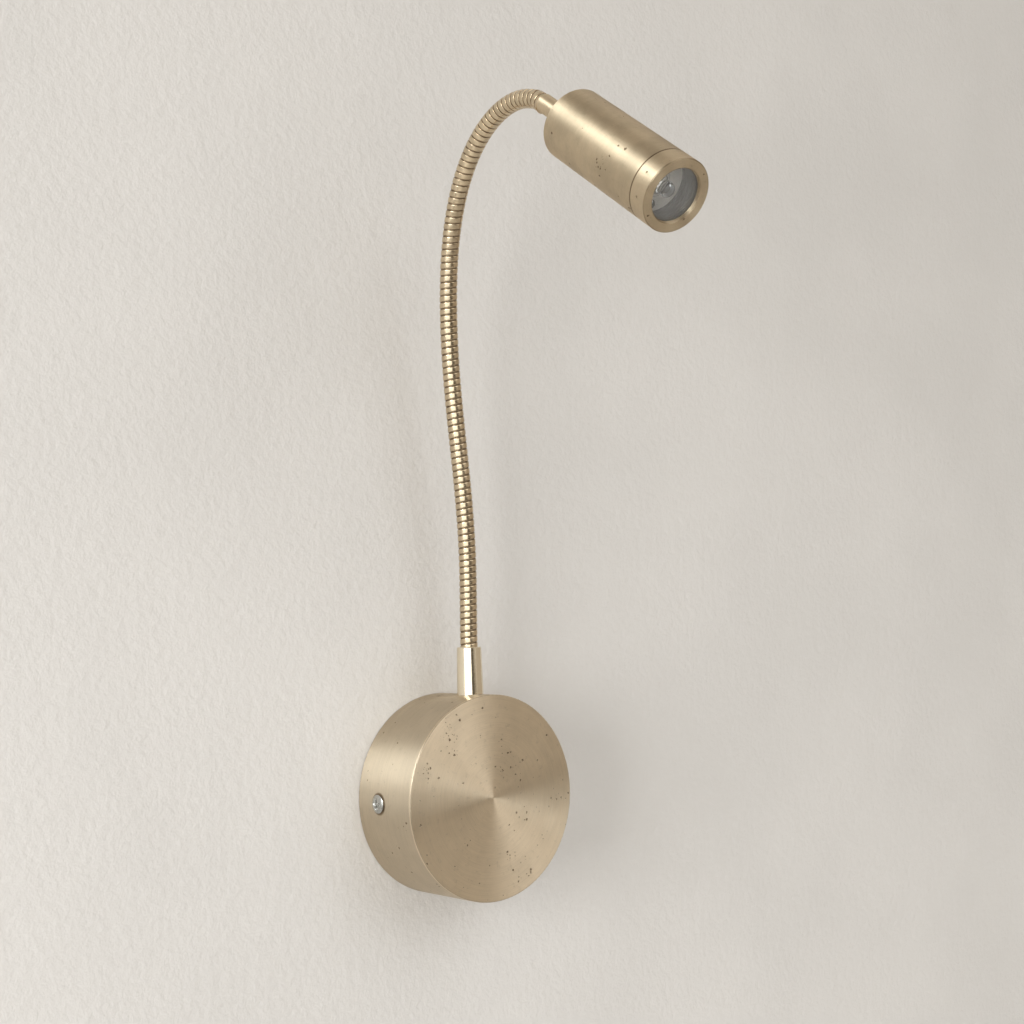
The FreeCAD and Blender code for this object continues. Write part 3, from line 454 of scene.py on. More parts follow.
def brushed_brass(name, brass, centre, axis, patches=(), edges=(), grain=1.0, clouds=0.07,
                  shadow_rings=(), skirt_shade=1.0):
    """Brass turned on a lathe: fine marks round its axis, a stretched highlight, brown
    clouds, tarnished pits, brown lines at edges, each a (radius, height along the axis,
    width), and dark circles of painted contact shadow round screw heads, each a (centre,
    radius, width). The part behind the centre along the axis is darkened by the given factor
    as painted shade."""
    colours = lamp().colours
    material, tree, shader = new_material(
        name, Metallic=1.0, Anisotropic=colours.brush_stretch, Anisotropic_Rotation=0.25)
    along, radius, outward, around = lathe(tree, centre, axis)
    fine = turning_marks(tree, axis, along, radius, outward, 0.16 * MM, 0.35)
    broad = turning_marks(tree, axis, along, radius, outward, 0.9 * MM, 0.8)
    cloud = noise(tree, object_place(tree), 75.0, 5.0, 0.62)
    speck = noise(tree, object_place(tree), 420.0, 4.0, 0.7)
    tint = blend_colours(tree, ease(tree, cloud, 0.36, 0.66), shade(brass, 1.03),
                         shade(brass, 1.03 - clouds))
    tint = blend_colours(tree, ease(tree, speck, 0.56, 0.8, 0.0, 0.4), tint, shade(brass, 0.5))
    tint = blend_colours(tree, ease(tree, broad, 0.35, 0.75, 0.0, 0.1 * grain), tint,
                         shade(brass, 0.55))
    tint = blend_colours(tree, ease(tree, fine, 0.4, 0.8, 0.0, 0.22 * grain), tint,
                         shade(brass, 0.6))
    # Painted shade: the part behind the face along the axis is made darker by this factor.
    if skirt_shade < 1.0:
        tint = reckon(tree, "SCALE", tint, scale=ease(tree, along, -1.4 * MM, -0.4 * MM,
                                                      skirt_shade, 1.0))
    for edge, height, width in edges:
        across = calc(tree, "SUBTRACT", radius, edge)
        down = calc(tree, "SUBTRACT", along, height)
        off = calc(tree, "SQRT", calc(tree, "ADD", calc(tree, "MULTIPLY", across, across),
                                      calc(tree, "MULTIPLY", down, down)))
        tint = blend_colours(tree, ease(tree, off, 0.0, width, 0.8, 0.0), tint, colours.tarnish)
    # Painted contact shadow: a dark circle of the tarnish colour round each screw head.
    for place, size, width in shadow_rings:
        far = reckon(tree, "DISTANCE", object_place(tree), place)
        off = calc(tree, "ABSOLUTE", calc(tree, "SUBTRACT", far, size))
        tint = blend_colours(tree, ease(tree, off, 0.0, width, 0.85, 0.0), tint,
                             colours.tarnish)
    pits, crowd = pit_mask(tree, colours.pits, patches)
    tint = blend_colours(tree, calc(tree, "MULTIPLY", crowd, 0.22), tint, shade(brass, 0.55))
    tint = blend_colours(tree, calc(tree, "MULTIPLY", pits, 0.8), tint, colours.tarnish)
    satin = ease(tree, fine, 0.3, 0.75, colours.satin - 0.05, colours.satin + 0.07)
    satin = calc(tree, "MULTIPLY_ADD", pits, 0.3, satin)
    normal = bump(tree, fine, 0.02 * MM * grain, 0.6)
    normal = bump(tree, broad, 0.015 * MM * grain, 0.3, normal)
    normal = bump(tree, calc(tree, "MULTIPLY", pits, -1.0), 0.08 * MM, 0.8, normal)
    put(tree, shader.inputs["Base Color"], tint)
    put(tree, shader.inputs["Roughness"], satin)
    put(tree, shader.inputs["Normal"], normal)
    turn = add_node(tree, "ShaderNodeVectorTransform", {0: around}, vector_type="VECTOR",
                    convert_from="OBJECT", convert_to="WORLD")
    put(tree, shader.inputs["Tangent"], turn.outputs[0])
    return material


def polished_brass(name, centre, axis):
    """Mirror brass with faint turning marks and a little tarnish."""
    colours = lamp().colours
    material, tree, shader = new_material(name, Metallic=1.0)
    along, radius, outward, _ = lathe(tree, centre, axis)
    fine = turning_marks(tree, axis, along, radius, outward, 0.12 * MM, 0.5)
    cloud = noise(tree, object_place(tree), 160.0, 4.0, 0.6)
    tint = blend_colours(tree, ease(tree, cloud, 0.4, 0.8, 0.0, 0.35), colours.bright_brass,
                         shade(colours.brass, 0.9))
    put(tree, shader.inputs["Base Color"], tint)
    put(tree, shader.inputs["Roughness"], ease(tree, fine, 0.3, 0.8, 0.09, 0.2))
    put(tree, shader.inputs["Normal"], bump(tree, fine, 0.01 * MM, 0.4))
    return material


def wound_brass(name):
    """Brass wire of the winding: bright on the crowns, brown in the grooves."""
    colours = lamp().colours
    material, tree, shader = new_material(name, Metallic=1.0)
    depth = add_node(tree, "ShaderNodeAttribute", attribute_name="depth").outputs["Fac"]
    place = object_place(tree)
    cloud = noise(tree, place, 260.0, 3.0, 0.6)
    tint = blend_colours(tree, ease(tree, cloud, 0.35, 0.75), shade(colours.aged_brass, 1.02),
                         shade(colours.aged_brass, 0.8))
    tint = blend_colours(tree, ease(tree, depth, 0.36, 0.75, 0.0, 0.95), tint, colours.tarnish)
    put(tree, shader.inputs["Base Color"], tint)
    put(tree, shader.inputs["Roughness"], ease(tree, depth, 0.2, 0.9, 0.23, 0.55))
    scratch = noise(tree, place, 2600.0, 2.0)
    put(tree, shader.inputs["Normal"], bump(tree, scratch, 0.01 * MM, 0.35))
    return material


def plated_steel(name, colour, roughness, blotch=0.12):
    """Zinc or nickel on steel: a cloudy grey with fine scratches."""
    material, tree, shader = new_material(name, Metallic=1.0)
    place = object_place(tree)
    cloud = noise(tree, place, 220.0, 4.0, 0.65)
    put(tree, shader.inputs["Base Color"],
        blend_colours(tree, ease(tree, cloud, 0.3, 0.75), colour, shade(colour, 1 - 2 * blotch)))
    put(tree, shader.inputs["Roughness"],
        ease(tree, cloud, 0.3, 0.8, roughness - 0.06, roughness + 0.08))
    put(tree, shader.inputs["Normal"], bump(tree, noise(tree, place, 3000.0), 0.01 * MM, 0.3))
    return material


def moulded_plastic(name, colour, roughness, grain=900.0, depth=0.02 * MM):
    """Moulded plastic, rubber or foam with an even colour and a fine grained skin."""
    material, tree, shader = new_material(name)
    place = object_place(tree)
    cloud = noise(tree, place, 120.0, 3.0)
    put(tree, shader.inputs["Base Color"],
        blend_colours(tree, ease(tree, cloud, 0.3, 0.7), colour, shade(colour, 0.9)))
    put(tree, shader.inputs["Roughness"],
        ease(tree, cloud, 0.3, 0.8, roughness, min(1.0, roughness + 0.12)))
    put(tree, shader.inputs["Normal"], bump(tree, noise(tree, place, grain), depth, 0.5))
    return material


def board_finish(name, centre, axis):
    """Light grey solder mask, cloudy, with a tinned ring of copper round the LED."""
    colours = lamp().colours
    material, tree, shader = new_material(name)
    _, radius, _, _ = lathe(tree, centre, axis)
    place = object_place(tree)
    cloud = noise(tree, place, 420.0, 4.0, 0.6)
    tint = blend_colours(tree, ease(tree, cloud, 0.35, 0.7), colours.board,
                         shade(colours.board, 0.85))
    ring = ease(tree, calc(tree, "ABSOLUTE", calc(tree, "SUBTRACT", radius, 5.0 * MM)),
                0.10 * MM, 0.22 * MM, 0.6, 0.0)
    tint = blend_colours(tree, ring, tint, shade(colours.board, 0.5))
    put(tree, shader.inputs["Base Color"], tint)
    put(tree, shader.inputs["Roughness"], ease(tree, cloud, 0.3, 0.8, 0.35, 0.5))
    put(tree, shader.inputs["Normal"], bump(tree, cloud, 0.03 * MM, 0.3))
    return material


def led_finish(name, centre, axis):
    """White ceramic with a dark rim, and yellow phosphor in the middle of its face."""
    material, tree, shader = new_material(name)
    _, radius, _, _ = lathe(tree, centre, axis)
    cloud = noise(tree, object_place(tree), 1500.0, 3.0)
    tint = blend_colours(tree, ease(tree, cloud, 0.3, 0.7), (0.62, 0.56, 0.40),
                         (0.60, 0.46, 0.36))
    tint = blend_colours(tree, ease(tree, radius, 1.2 * MM, 1.6 * MM), tint,
                         (0.46, 0.45, 0.43))
    tint = blend_colours(tree, ease(tree, radius, 2.1 * MM, 2.35 * MM), tint,
                         (0.10, 0.10, 0.11))
    put(tree, shader.inputs["Base Color"], tint)
    put(tree, shader.inputs["Roughness"], ease(tree, cloud, 0.3, 0.8, 0.3, 0.45))
    put(tree, shader.inputs["Normal"], bump(tree, cloud, 0.01 * MM, 0.3))
    return material


def ribbed_spacer(name, centre, axis):
    """Dark anodised metal, glossy, with fine ribs turned round its axis."""
    dark = tuple(lamp().colours.spacer)
    material, tree, shader = new_material(name, Metallic=0.7)
    along, radius, outward, _ = lathe(tree, centre, axis)
    streak = turning_marks(tree, axis, along, radius, outward, 0.5 * MM, 1.2)
    put(tree, shader.inputs["Base Color"],
        blend_colours(tree, ease(tree, streak, 0.3, 0.7), shade(dark, 1.6), shade(dark, 0.8)))
    put(tree, shader.inputs["Roughness"], ease(tree, streak, 0.3, 0.8, 0.18, 0.32))
    ribs = calc(tree, "SINE", calc(tree, "MULTIPLY", along, 2 * math.pi / (1.6 * MM)))
    normal = bump(tree, ribs, 0.12 * MM, 0.8)
    put(tree, shader.inputs["Normal"], bump(tree, streak, 0.03 * MM, 0.5, normal))
    return material


def clear_finish(name, colour, index, roughness, clearness=1.0):
    """Clear glass, lens plastic or silicone, with faint smears on the skin."""
    material, tree, shader = new_material(name, Transmission_Weight=clearness, IOR=index)
    smear = noise(tree, object_place(tree), 180.0, 4.0, 0.6)
    put(tree, shader.inputs["Base Color"],
        blend_colours(tree, ease(tree, smear, 0.3, 0.8), colour, shade(colour, 0.97)))
    put(tree, shader.inputs["Roughness"],
        ease(tree, smear, 0.45, 0.8, roughness, roughness + 0.03))
    return material


def wall_plaster(name):
    """Painted plaster with soft lumps. Seen from behind, the wall lets light by."""
    material, tree, shader = new_material(name)
    place = object_place(tree)
    lumps = noise(tree, place, 260.0, 5.0, 0.6)
    waves = noise(tree, place, 9.0, 3.0, 0.5)
    colour = tuple(lamp().studio.wall)
    put(tree, shader.inputs["Base Color"],
        blend_colours(tree, ease(tree, waves, 0.35, 0.65), colour, shade(colour, 0.96)))
    put(tree, shader.inputs["Roughness"], ease(tree, lumps, 0.2, 0.8, 0.8, 0.95))
    normal = bump(tree, lumps, 1.2 * MM, 0.4)
    put(tree, shader.inputs["Normal"], bump(tree, waves, 6 * MM, 0.25, normal))
    behind = add_node(tree, "ShaderNodeNewGeometry").outputs["Backfacing"]
    clear = tree.nodes.new("ShaderNodeBsdfTransparent").outputs[0]
    mix = add_node(tree, "ShaderNodeMixShader", {0: behind, 1: shader.outputs[0], 2: clear})
    tree.links.new(mix.outputs[0], tree.nodes["Material Output"].inputs[0])
    return material


def dress(name, material):
    """Give a CAD node its finish."""
    data = frame["nodes"][name].data
    data.materials.clear()
    data.materials.append(material)


# ---------------------------------------------------------------------------
# The neck's middle line

class MiddleLine:
    """Smooth line through the neck's hinges, by distance from the ferrule's top.

    Between two hinges it is the cubic with their places and directions at its ends, and a
    direction is that of the chord between the hinges on either side. The cross direction
    is carried from hinge to hinge without twist."""

    def __init__(self, section):
        places = [Vector(joint["pos_m"]) for joint in frame["joints"]]
        _, head_axis = head_place()
        start = places[0] - Vector((0.0, 0.0, section / 2))
        end = places[-1] + head_axis * section / 2
        directions = [Vector((0.0, 0.0, 1.0))]
        directions += [(after - before).normalized()
                       for before, after in zip([start] + places, places[1:] + [end])]
        directions.append(head_axis)
        self.length = section * len(places)
        self.marks = np.array([0.0] + [(number + 0.5) * section
                                       for number in range(len(places))] + [self.length])
        self.places = np.array([start] + places + [end])
        self.directions = np.array(directions)
        across = Vector((1.0, 0.0, 0.0))
        carried = []
        for direction in directions:
            across = (across - across.dot(direction) * direction).normalized()
            carried.append(across)
        self.across = np.array(carried)

    def at(self, distance):
        """Place, direction and cross direction at each distance of an array."""
        distance = np.asarray(distance, float)
        inside = np.clip(distance, 0.0, self.length)
        low = np.clip(np.searchsorted(self.marks, inside, "right") - 1, 0, len(self.marks) - 2)
        step = (self.marks[low + 1] - self.marks[low])[..., None]
        share = (inside - self.marks[low])[..., None] / step
        start, end = self.places[low], self.places[low + 1]
        go, come = self.directions[low] * step, self.directions[low + 1] * step
        place = (start * (2 * share ** 3 - 3 * share ** 2 + 1)
                 + go * (share ** 3 - 2 * share ** 2 + share)
                 + end * (3 * share ** 2 - 2 * share ** 3)
                 + come * (share ** 3 - share ** 2))
        slope = (start * (6 * share ** 2 - 6 * share) + go * (3 * share ** 2 - 4 * share + 1)
                 + end * (6 * share - 6 * share ** 2) + come * (3 * share ** 2 - 2 * share))
        slope /= np.linalg.norm(slope, axis=-1, keepdims=True)
        place = place + slope * (distance - inside)[..., None]
        across = self.across[low] * (1 - share) + self.across[low + 1] * share
        across = across - np.sum(across * slope, axis=-1, keepdims=True) * slope
        across /= np.linalg.norm(across, axis=-1, keepdims=True)
        return place, slope, across


def winding_depth(turn, sizes):
    """Depth of the winding below its outside at a share of the pitch. The round wire is
    half a superellipse, worn flat on its crown, and the wedge wire a ridge in the gap."""
    share = sizes.round_share
    across_round = (turn - share / 2) / (share / 2)
    across_wedge = (turn - (1 + share) / 2) / ((1 - share) / 2)
    full = np.clip(1 - np.abs(across_round) ** sizes.crown, 0, 1)
    round_wire = 1 - full ** (1 / sizes.crown)
    wedge_top = sizes.wedge_drop / sizes.groove
    wedge_wire = wedge_top + (1 - wedge_top) * np.abs(across_wedge) ** 2.5
    return sizes.groove * np.where(turn < share, round_wire, wedge_wire)


def winding_steps(sizes):
    """Shares of the pitch where the winding has points: few on the flat crown of the round
    wire, more on its shoulders, and close together in the groove."""
    share = sizes.round_share
    crown = np.array([-1.0, -0.98, -0.93, -0.85, -0.7, -0.35, 0.0, 0.35, 0.7, 0.85, 0.93, 0.98])
    wedge = np.array([-1.0, -0.6, -0.25, 0.0, 0.25, 0.6])
    return np.concatenate([share / 2 * (1 + crown), share + (1 - share) / 2 * (1 + wedge)])


def wound_run(line, low, high, sizes, beyond):
    """Points and depths of a stretch of the double winding between two distances.

    Each row follows a thread of the screw line: its distance is the pitch times the row's
    turn plus the share of the way round, kept between low and high, so that the ends are
    flat. beyond is a list of (distance, radius) rows that close the stretch."""
    pitch = sizes.pitch
    angle = np.linspace(0.0, 2 * np.pi, sizes.columns + 1)
    first_turn = math.floor(low / pitch + 1e-6) - 1
    last_turn = math.ceil(high / pitch - 1e-6)
    turns = np.arange(first_turn, last_turn)[:, None] + winding_steps(sizes)[None, :]
    turns = np.append(turns.ravel(), last_turn)
    distance = np.clip(pitch * (turns[:, None] + angle[None, :] / (2 * np.pi)), low, high)
    phase = np.mod(distance / pitch - angle[None, :] / (2 * np.pi) + 1e-9, 1.0)
    depth = winding_depth(phase, sizes)
    radius = sizes.diameter / 2 - depth
    closing = np.array(beyond)
    distance = np.vstack([distance, np.repeat(closing[:, :1], len(angle), axis=1)])
    radius = np.vstack([radius, np.repeat(closing[:, 1:], len(angle), axis=1)])
    depth = np.vstack([depth / sizes.groove, np.ones((len(closing), len(angle)))])
    place, along, across = line.at(distance)
    up = np.cross(along, across)
    out = np.cos(angle)[None, :, None] * across + np.sin(angle)[None, :, None] * up
    return place + radius[..., None] * out, depth


def spokes(across, up, columns):
    """Unit directions all round a line, [point, column, xyz], from its cross directions."""
    angle = np.arange(columns) * (2 * np.pi / columns)
    return (np.cos(angle)[None, :, None] * across[:, None]
            + np.sin(angle)[None, :, None] * up[:, None])


def tube_run(line, low, high, radius, rows, columns):
    """Points of a closed round tube along the middle line."""
    distance = np.concatenate([[low], np.linspace(low, high, rows), [high]])
    radii = np.full(len(distance), radius)
    radii[0] = radii[-1] = 0.0
    place, along, across = line.at(distance)
    out = spokes(across, np.cross(along, across), columns)
    return place[:, None] + radii[:, None, None] * out


# ---------------------------------------------------------------------------
# Runs of lead outside the neck

def smooth_route(points):
    """Points of the smooth line that a route's corners pull: the second-order NURBS spline."""
    curve = bpy.data.curves.new("route", "CURVE")
    curve.dimensions = "3D"
    curve.resolution_u = 16
    spline = curve.splines.new("NURBS")
    spline.points.add(len(points) - 1)
    for point, place in zip(spline.points, points):
        point.co = (*place, 1.0)
    spline.order_u = 3
    spline.use_endpoint_u = True
    holder = bpy.data.objects.new("route", curve)
    mesh = bpy.data.meshes.new_from_object(holder)
    flat = np.empty(len(mesh.vertices) * 3)
    mesh.vertices.foreach_get("co", flat)
    bpy.data.objects.remove(holder)
    return flat.reshape(-1, 3)


def tube_on_points(points, radius, columns):
    """Closed round tube on a line of points; the cross direction is carried without twist."""
    slope = np.gradient(points, axis=0)
    slope /= np.linalg.norm(slope, axis=1, keepdims=True)
    across, _ = cross_axes(slope[0])
    carried = []
    for direction in slope:
        direction = Vector(direction)
        across = (across - across.dot(direction) * direction).normalized()
        carried.append(across)
    across = np.array(carried)
    rows = points[:, None] + radius * spokes(across, np.cross(slope, across), columns)
    first = np.repeat(points[:1, None], columns, axis=1)
    last = np.repeat(points[-1:, None], columns, axis=1)
    return np.concatenate([first, rows, last])


# ---------------------------------------------------------------------------
# Screws

def cross_recess(radius, angle, reach, width, depth):
    """Depth of a cross recess: two crossed bars with soft walls, deepest in the middle."""
    across = radius * np.cos(angle)
    up = radius * np.sin(angle)

    def bar(one, other):
        wall = np.clip((width - np.abs(other)) / (0.35 * width), 0, 1)
        end = np.clip((reach - np.abs(one)) / (0.25 * reach), 0, 1)
        return wall * end

    cross = np.maximum(bar(across, up), bar(up, across))
    return depth * cross * (1 - 0.35 * radius / reach)


def screw_points(seat, axis, head_radius, head_height, thread_radius, length, pitch):
    """Points of a pan-head screw whose shank points along the axis from its seat. The head
    is a flattened dome with a cross recess, and the thread a screw line on the shank."""
    columns = 72
    angle = np.arange(columns) * (2 * np.pi / columns)
    crown = head_radius * np.linspace(0.0, 1.0, 30) ** 0.8
    dome = head_height * (1 - 0.62 * (crown / head_radius) ** 3.2)
    recess = cross_recess(crown[:, None], angle[None, :], 0.62 * head_radius,
                          0.17 * head_radius, 0.72 * head_height)
    radii = [np.repeat(crown[:, None], columns, axis=1)]
    heights = [recess - dome[:, None]]
    rim = np.ones((1, columns))
    for radius, height in ((head_radius, -0.05 * head_height), (0.97 * head_radius, 0.0),
                           (thread_radius, 0.0)):
        radii.append(radius * rim)
        heights.append(height * rim)
    shank = np.arange(0.0, length, pitch / 6)[1:]
    wave = np.abs(np.mod(shank[:, None] / pitch - angle[None, :] / (2 * np.pi), 1.0) * 2 - 1)
    radii.append(thread_radius * (1 - 0.13 * wave))
    heights.append(shank[:, None] * rim)
    for radius, height in ((0.8 * thread_radius, length), (0.0, length)):
        radii.append(radius * rim)
        heights.append(height * rim)
    points = round_grid(seat, axis, np.vstack(radii), np.vstack(heights), columns)
    return points[:, ::-1]


# ---------------------------------------------------------------------------
# Operators

class LAMP_OT_canopy(bpy.types.Operator):
    """Finish the canopy: spun cover, plate, driver, terminals and wires"""
    bl_idname = "reading_lamp.canopy"
    bl_label = "Canopy"

    def execute(self, context):
        low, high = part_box("canopy_cover")
        radius = high.x
        face = low.y
        # Pitted places on the face: across, up and reach in mm, and the share of spots.
        spots = ((-19.3, 30.7, 6.0, 0.75), (-21.5, 24.0, 8.0, 0.5), (-33.2, 12.5, 5.0, 0.85),
                 (7.2, 12.5, 9.0, 0.45), (34.8, -3.4, 7.0, 0.4), (13.8, -29.5, 7.0, 0.5),
                 (15.2, -7.4, 4.0, 0.35), (25.7, -18.0, 5.0, 0.3))
        patches = [(Vector((across * MM, face, level * MM)), reach * MM, share)
                   for across, level, reach, share in spots]
        # Painted contact shadow round the two cover screws: a dark circle just outside each
        # head.
        screw = middle("cover_screws")
        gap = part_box("cover_screws")[1].z - screw.z + 0.2 * MM
        shadow_rings = [(Vector((side * radius, screw.y, screw.z)), gap, 0.9 * MM)
                 for side in (-1, 1)]
        # Painted shade: the factor 0.74 darkens the cover's side behind its face.
        dress("canopy_cover", brushed_brass(
            "spun_brass", lamp().colours.brass, Vector((0.0, face, 0.0)), WALL_AXIS, patches,
            ((radius, 0.0, 0.4 * MM),), shadow_rings=shadow_rings, skirt_shade=0.74))
        zinc = plated_steel("zinc_plate", (0.60, 0.61, 0.62), 0.38)
        steel = plated_steel("nickel_steel", (0.66, 0.65, 0.62), 0.24)
        terminal = plated_steel("terminal_brass", (0.72, 0.56, 0.28), 0.28)
        for name in ("back_plate", "earth_washer", "arm_washer"):
            dress(name, zinc)
        for name in ("arm_nut", "terminal_screws"):
            dress(name, steel)
        dress("terminal_tubes", terminal)
        dress("arm_nipple", terminal)
        white = moulded_plastic("white_nylon", (0.74, 0.74, 0.72), 0.45)
        dress("cable_bush", white)
        dress("terminal_block", white)
        dress("driver_case", moulded_plastic("driver_shell", (0.72, 0.72, 0.70), 0.42, 1400.0))
        dress("driver_pad", moulded_plastic("grey_foam", (0.16, 0.16, 0.17), 0.9, 2500.0,
                                            0.12 * MM))
        dress("live_wire", moulded_plastic("brown_jacket", (0.13, 0.05, 0.025), 0.4))
        dress("neutral_wire", moulded_plastic("blue_jacket", (0.03, 0.12, 0.40), 0.4))
        return {"FINISHED"}


class LAMP_OT_screws(bpy.types.Operator):
    """Make the two cover screws, the earth screw and the board's screws"""
    bl_idname = "reading_lamp.screws"
    bl_label = "Screws"

    def execute(self, context):
        steel = plated_steel("screw_nickel", (0.55, 0.55, 0.52), 0.24, 0.2)
        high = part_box("cover_screws")[1]
        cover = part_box("canopy_cover")[1].x
        place = middle("cover_screws")
        for side, name in ((-1, "cover_screw_left"), (1, "cover_screw_right")):
            seat = Vector((side * cover, place.y, place.z))
            points = screw_points(seat, Vector((-side, 0.0, 0.0)), high.z - place.z,
                                  high.x - cover, 2 * MM, 8 * MM, 0.7 * MM)
            self.finish(name, points, steel, "canopy", "cover_screws")
        place = middle("earth_screw")
        low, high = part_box("earth_screw")
        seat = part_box("earth_washer")[0].y
        points = screw_points(Vector((place.x, seat, place.z)), Vector((0.0, 1.0, 0.0)),
                              high.x - place.x, seat - low.y, 1.5 * MM, -seat, 0.5 * MM)
        self.finish("earth_terminal_screw", points, steel, "canopy", "earth_screw")
        washer, axis = head_place()
        away = node_points("board_screws") - np.array(washer)
        away -= np.outer(away @ np.array(axis), axis)
        sideways = Vector(np.linalg.svd(away, full_matrices=False)[2][0])
        far = np.abs(away @ np.array(sideways))
        offset = (far.max() + far.min()) / 2
        head_radius = (far.max() - far.min()) / 2
        board_low, board_high, _ = reach_along("led_board", washer, axis)
        screw_low, screw_high, _ = reach_along("board_screws", washer, axis)
        for side, name in ((-1, "board_screw_1"), (1, "board_screw_2")):
            seat = washer + axis * board_high + sideways * side * offset
            points = screw_points(seat, -axis, head_radius, screw_high - board_high, 1 * MM,
                                  board_high - screw_low, 0.4 * MM)
            self.finish(name, points, steel, "head", "board_screws")
        return {"FINISHED"}

    def finish(self, name, points, steel, body, node):
        mesh = grid_mesh(name, points)
        crease(mesh, 35)
        piece = new_piece(name, mesh, steel)
        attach(piece, body)
        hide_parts(node)


class LAMP_OT_neck(bpy.types.Operator):
    """Wind the gooseneck: one stretch of round wire and wedge wire over each hinge"""
    bl_idname = "reading_lamp.neck"
    bl_label = "Gooseneck"

    def execute(self, context):
        sizes = lamp().neck
        section = TURNS * sizes.pitch
        line = MiddleLine(section)
        brass = wound_brass("wound_brass")
        names = ["neck_foot"] + [joint["child"] for joint in frame["joints"][:-1]] + ["neck_tip"]
        count = len(frame["joints"])
        bore = sizes.bore / 2
        spigot_radius = 2.5 * MM
        for number, joint in enumerate(frame["joints"], 1):
            low = (number - 1) * section
            high = number * section
            begin = low - (sizes.seat if number == 1 else 0.0)
            beyond = []
            if number == count:
                tip = high + sizes.spigot
                beyond = [(high, spigot_radius), (tip, spigot_radius), (tip, bore)]
            beyond += [(distance, bore) for distance in np.linspace(high, begin, 9)]
            points, depth = wound_run(line, begin, high, sizes, beyond)
            name = "winding_%02d" % number
            mesh = grid_mesh(name, points, False, True, depth)
            crease(mesh, 50)
            piece = new_piece(name, mesh, brass)
            ends = line.at(np.array([low, high]))[0]
            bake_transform(piece)
            if number == count:
                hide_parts(names[number - 1], names[number])
            else:
                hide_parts(names[number - 1])
        up = Vector((0.0, 0.0, 1.0))
        dress("arm_ferrule", polished_brass("polished_brass", middle("arm_ferrule"), up))
        washer, axis = head_place()
        dress("head_collar", brushed_brass("collar_brass", lamp().colours.aged_brass, washer,
                                           axis))
        return {"FINISHED"}


class LAMP_OT_lead(bpy.types.Operator):
    """Draw the lamp's lead from the driver through the neck to the LED board"""
    bl_idname = "reading_lamp.lead"
    bl_label = "Lead"

    def execute(self, context):
        sizes = lamp().lead
        section = TURNS * lamp().neck.pitch
        line = MiddleLine(section)
        radius = sizes.diameter / 2
        jacket = moulded_plastic("lead_silicone", tuple(sizes.jacket), 0.5, 1200.0)
        driver_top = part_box("driver_case")[1].z
        start = Vector(line.at(0.0)[0])
        shift = 10 * MM
        upright = 14 * MM
        foot = [(shift, start.y, driver_top), (shift, start.y, 0.0),
                (0.0, start.y, upright), tuple(start)]
        self.finish("lead_in_canopy", foot, radius, jacket, "canopy")
        for number, joint in enumerate(frame["joints"], 1):
            low = (number - 1) * section
            points = tube_run(line, low, low + section, radius, 9, LEAD_COLUMNS)
            name = "lead_in_neck_%02d" % number
            piece = new_piece(name, grid_mesh(name, points), jacket)
            ends = line.at(np.array([low, low + section]))[0]
            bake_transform(piece)
            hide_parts("lamp_lead")
        washer, axis = head_place()
        away = node_points("lamp_lead") - np.array(washer)
        along = away @ np.array(axis)
        last = away[along > along.max() - 0.5 * MM]
        sideways = last.mean(axis=0) - along.max() * np.array(axis)
        sideways = Vector(sideways).normalized()
        offset = 6.5 * MM
        sink_low, sink_high, _ = reach_along("heat_sink", washer, axis)
        collar_end = reach_along("head_collar", washer, axis)[1]
        free = sink_low - collar_end
        tip = Vector(line.at(line.length)[0])
        head = [tip, washer + axis * (collar_end + 0.2 * free),
                washer + axis * (sink_low - 0.2 * free) + sideways * offset,
                washer + axis * sink_high + sideways * offset]
        self.finish("lead_in_head", head, radius, jacket, "head")
        return {"FINISHED"}

    def finish(self, name, route, radius, jacket, body):
        points = tube_on_points(smooth_route(route), radius, LEAD_COLUMNS)
        piece = new_piece(name, grid_mesh(name, points), jacket)
        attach(piece, body)
        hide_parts("lamp_lead")


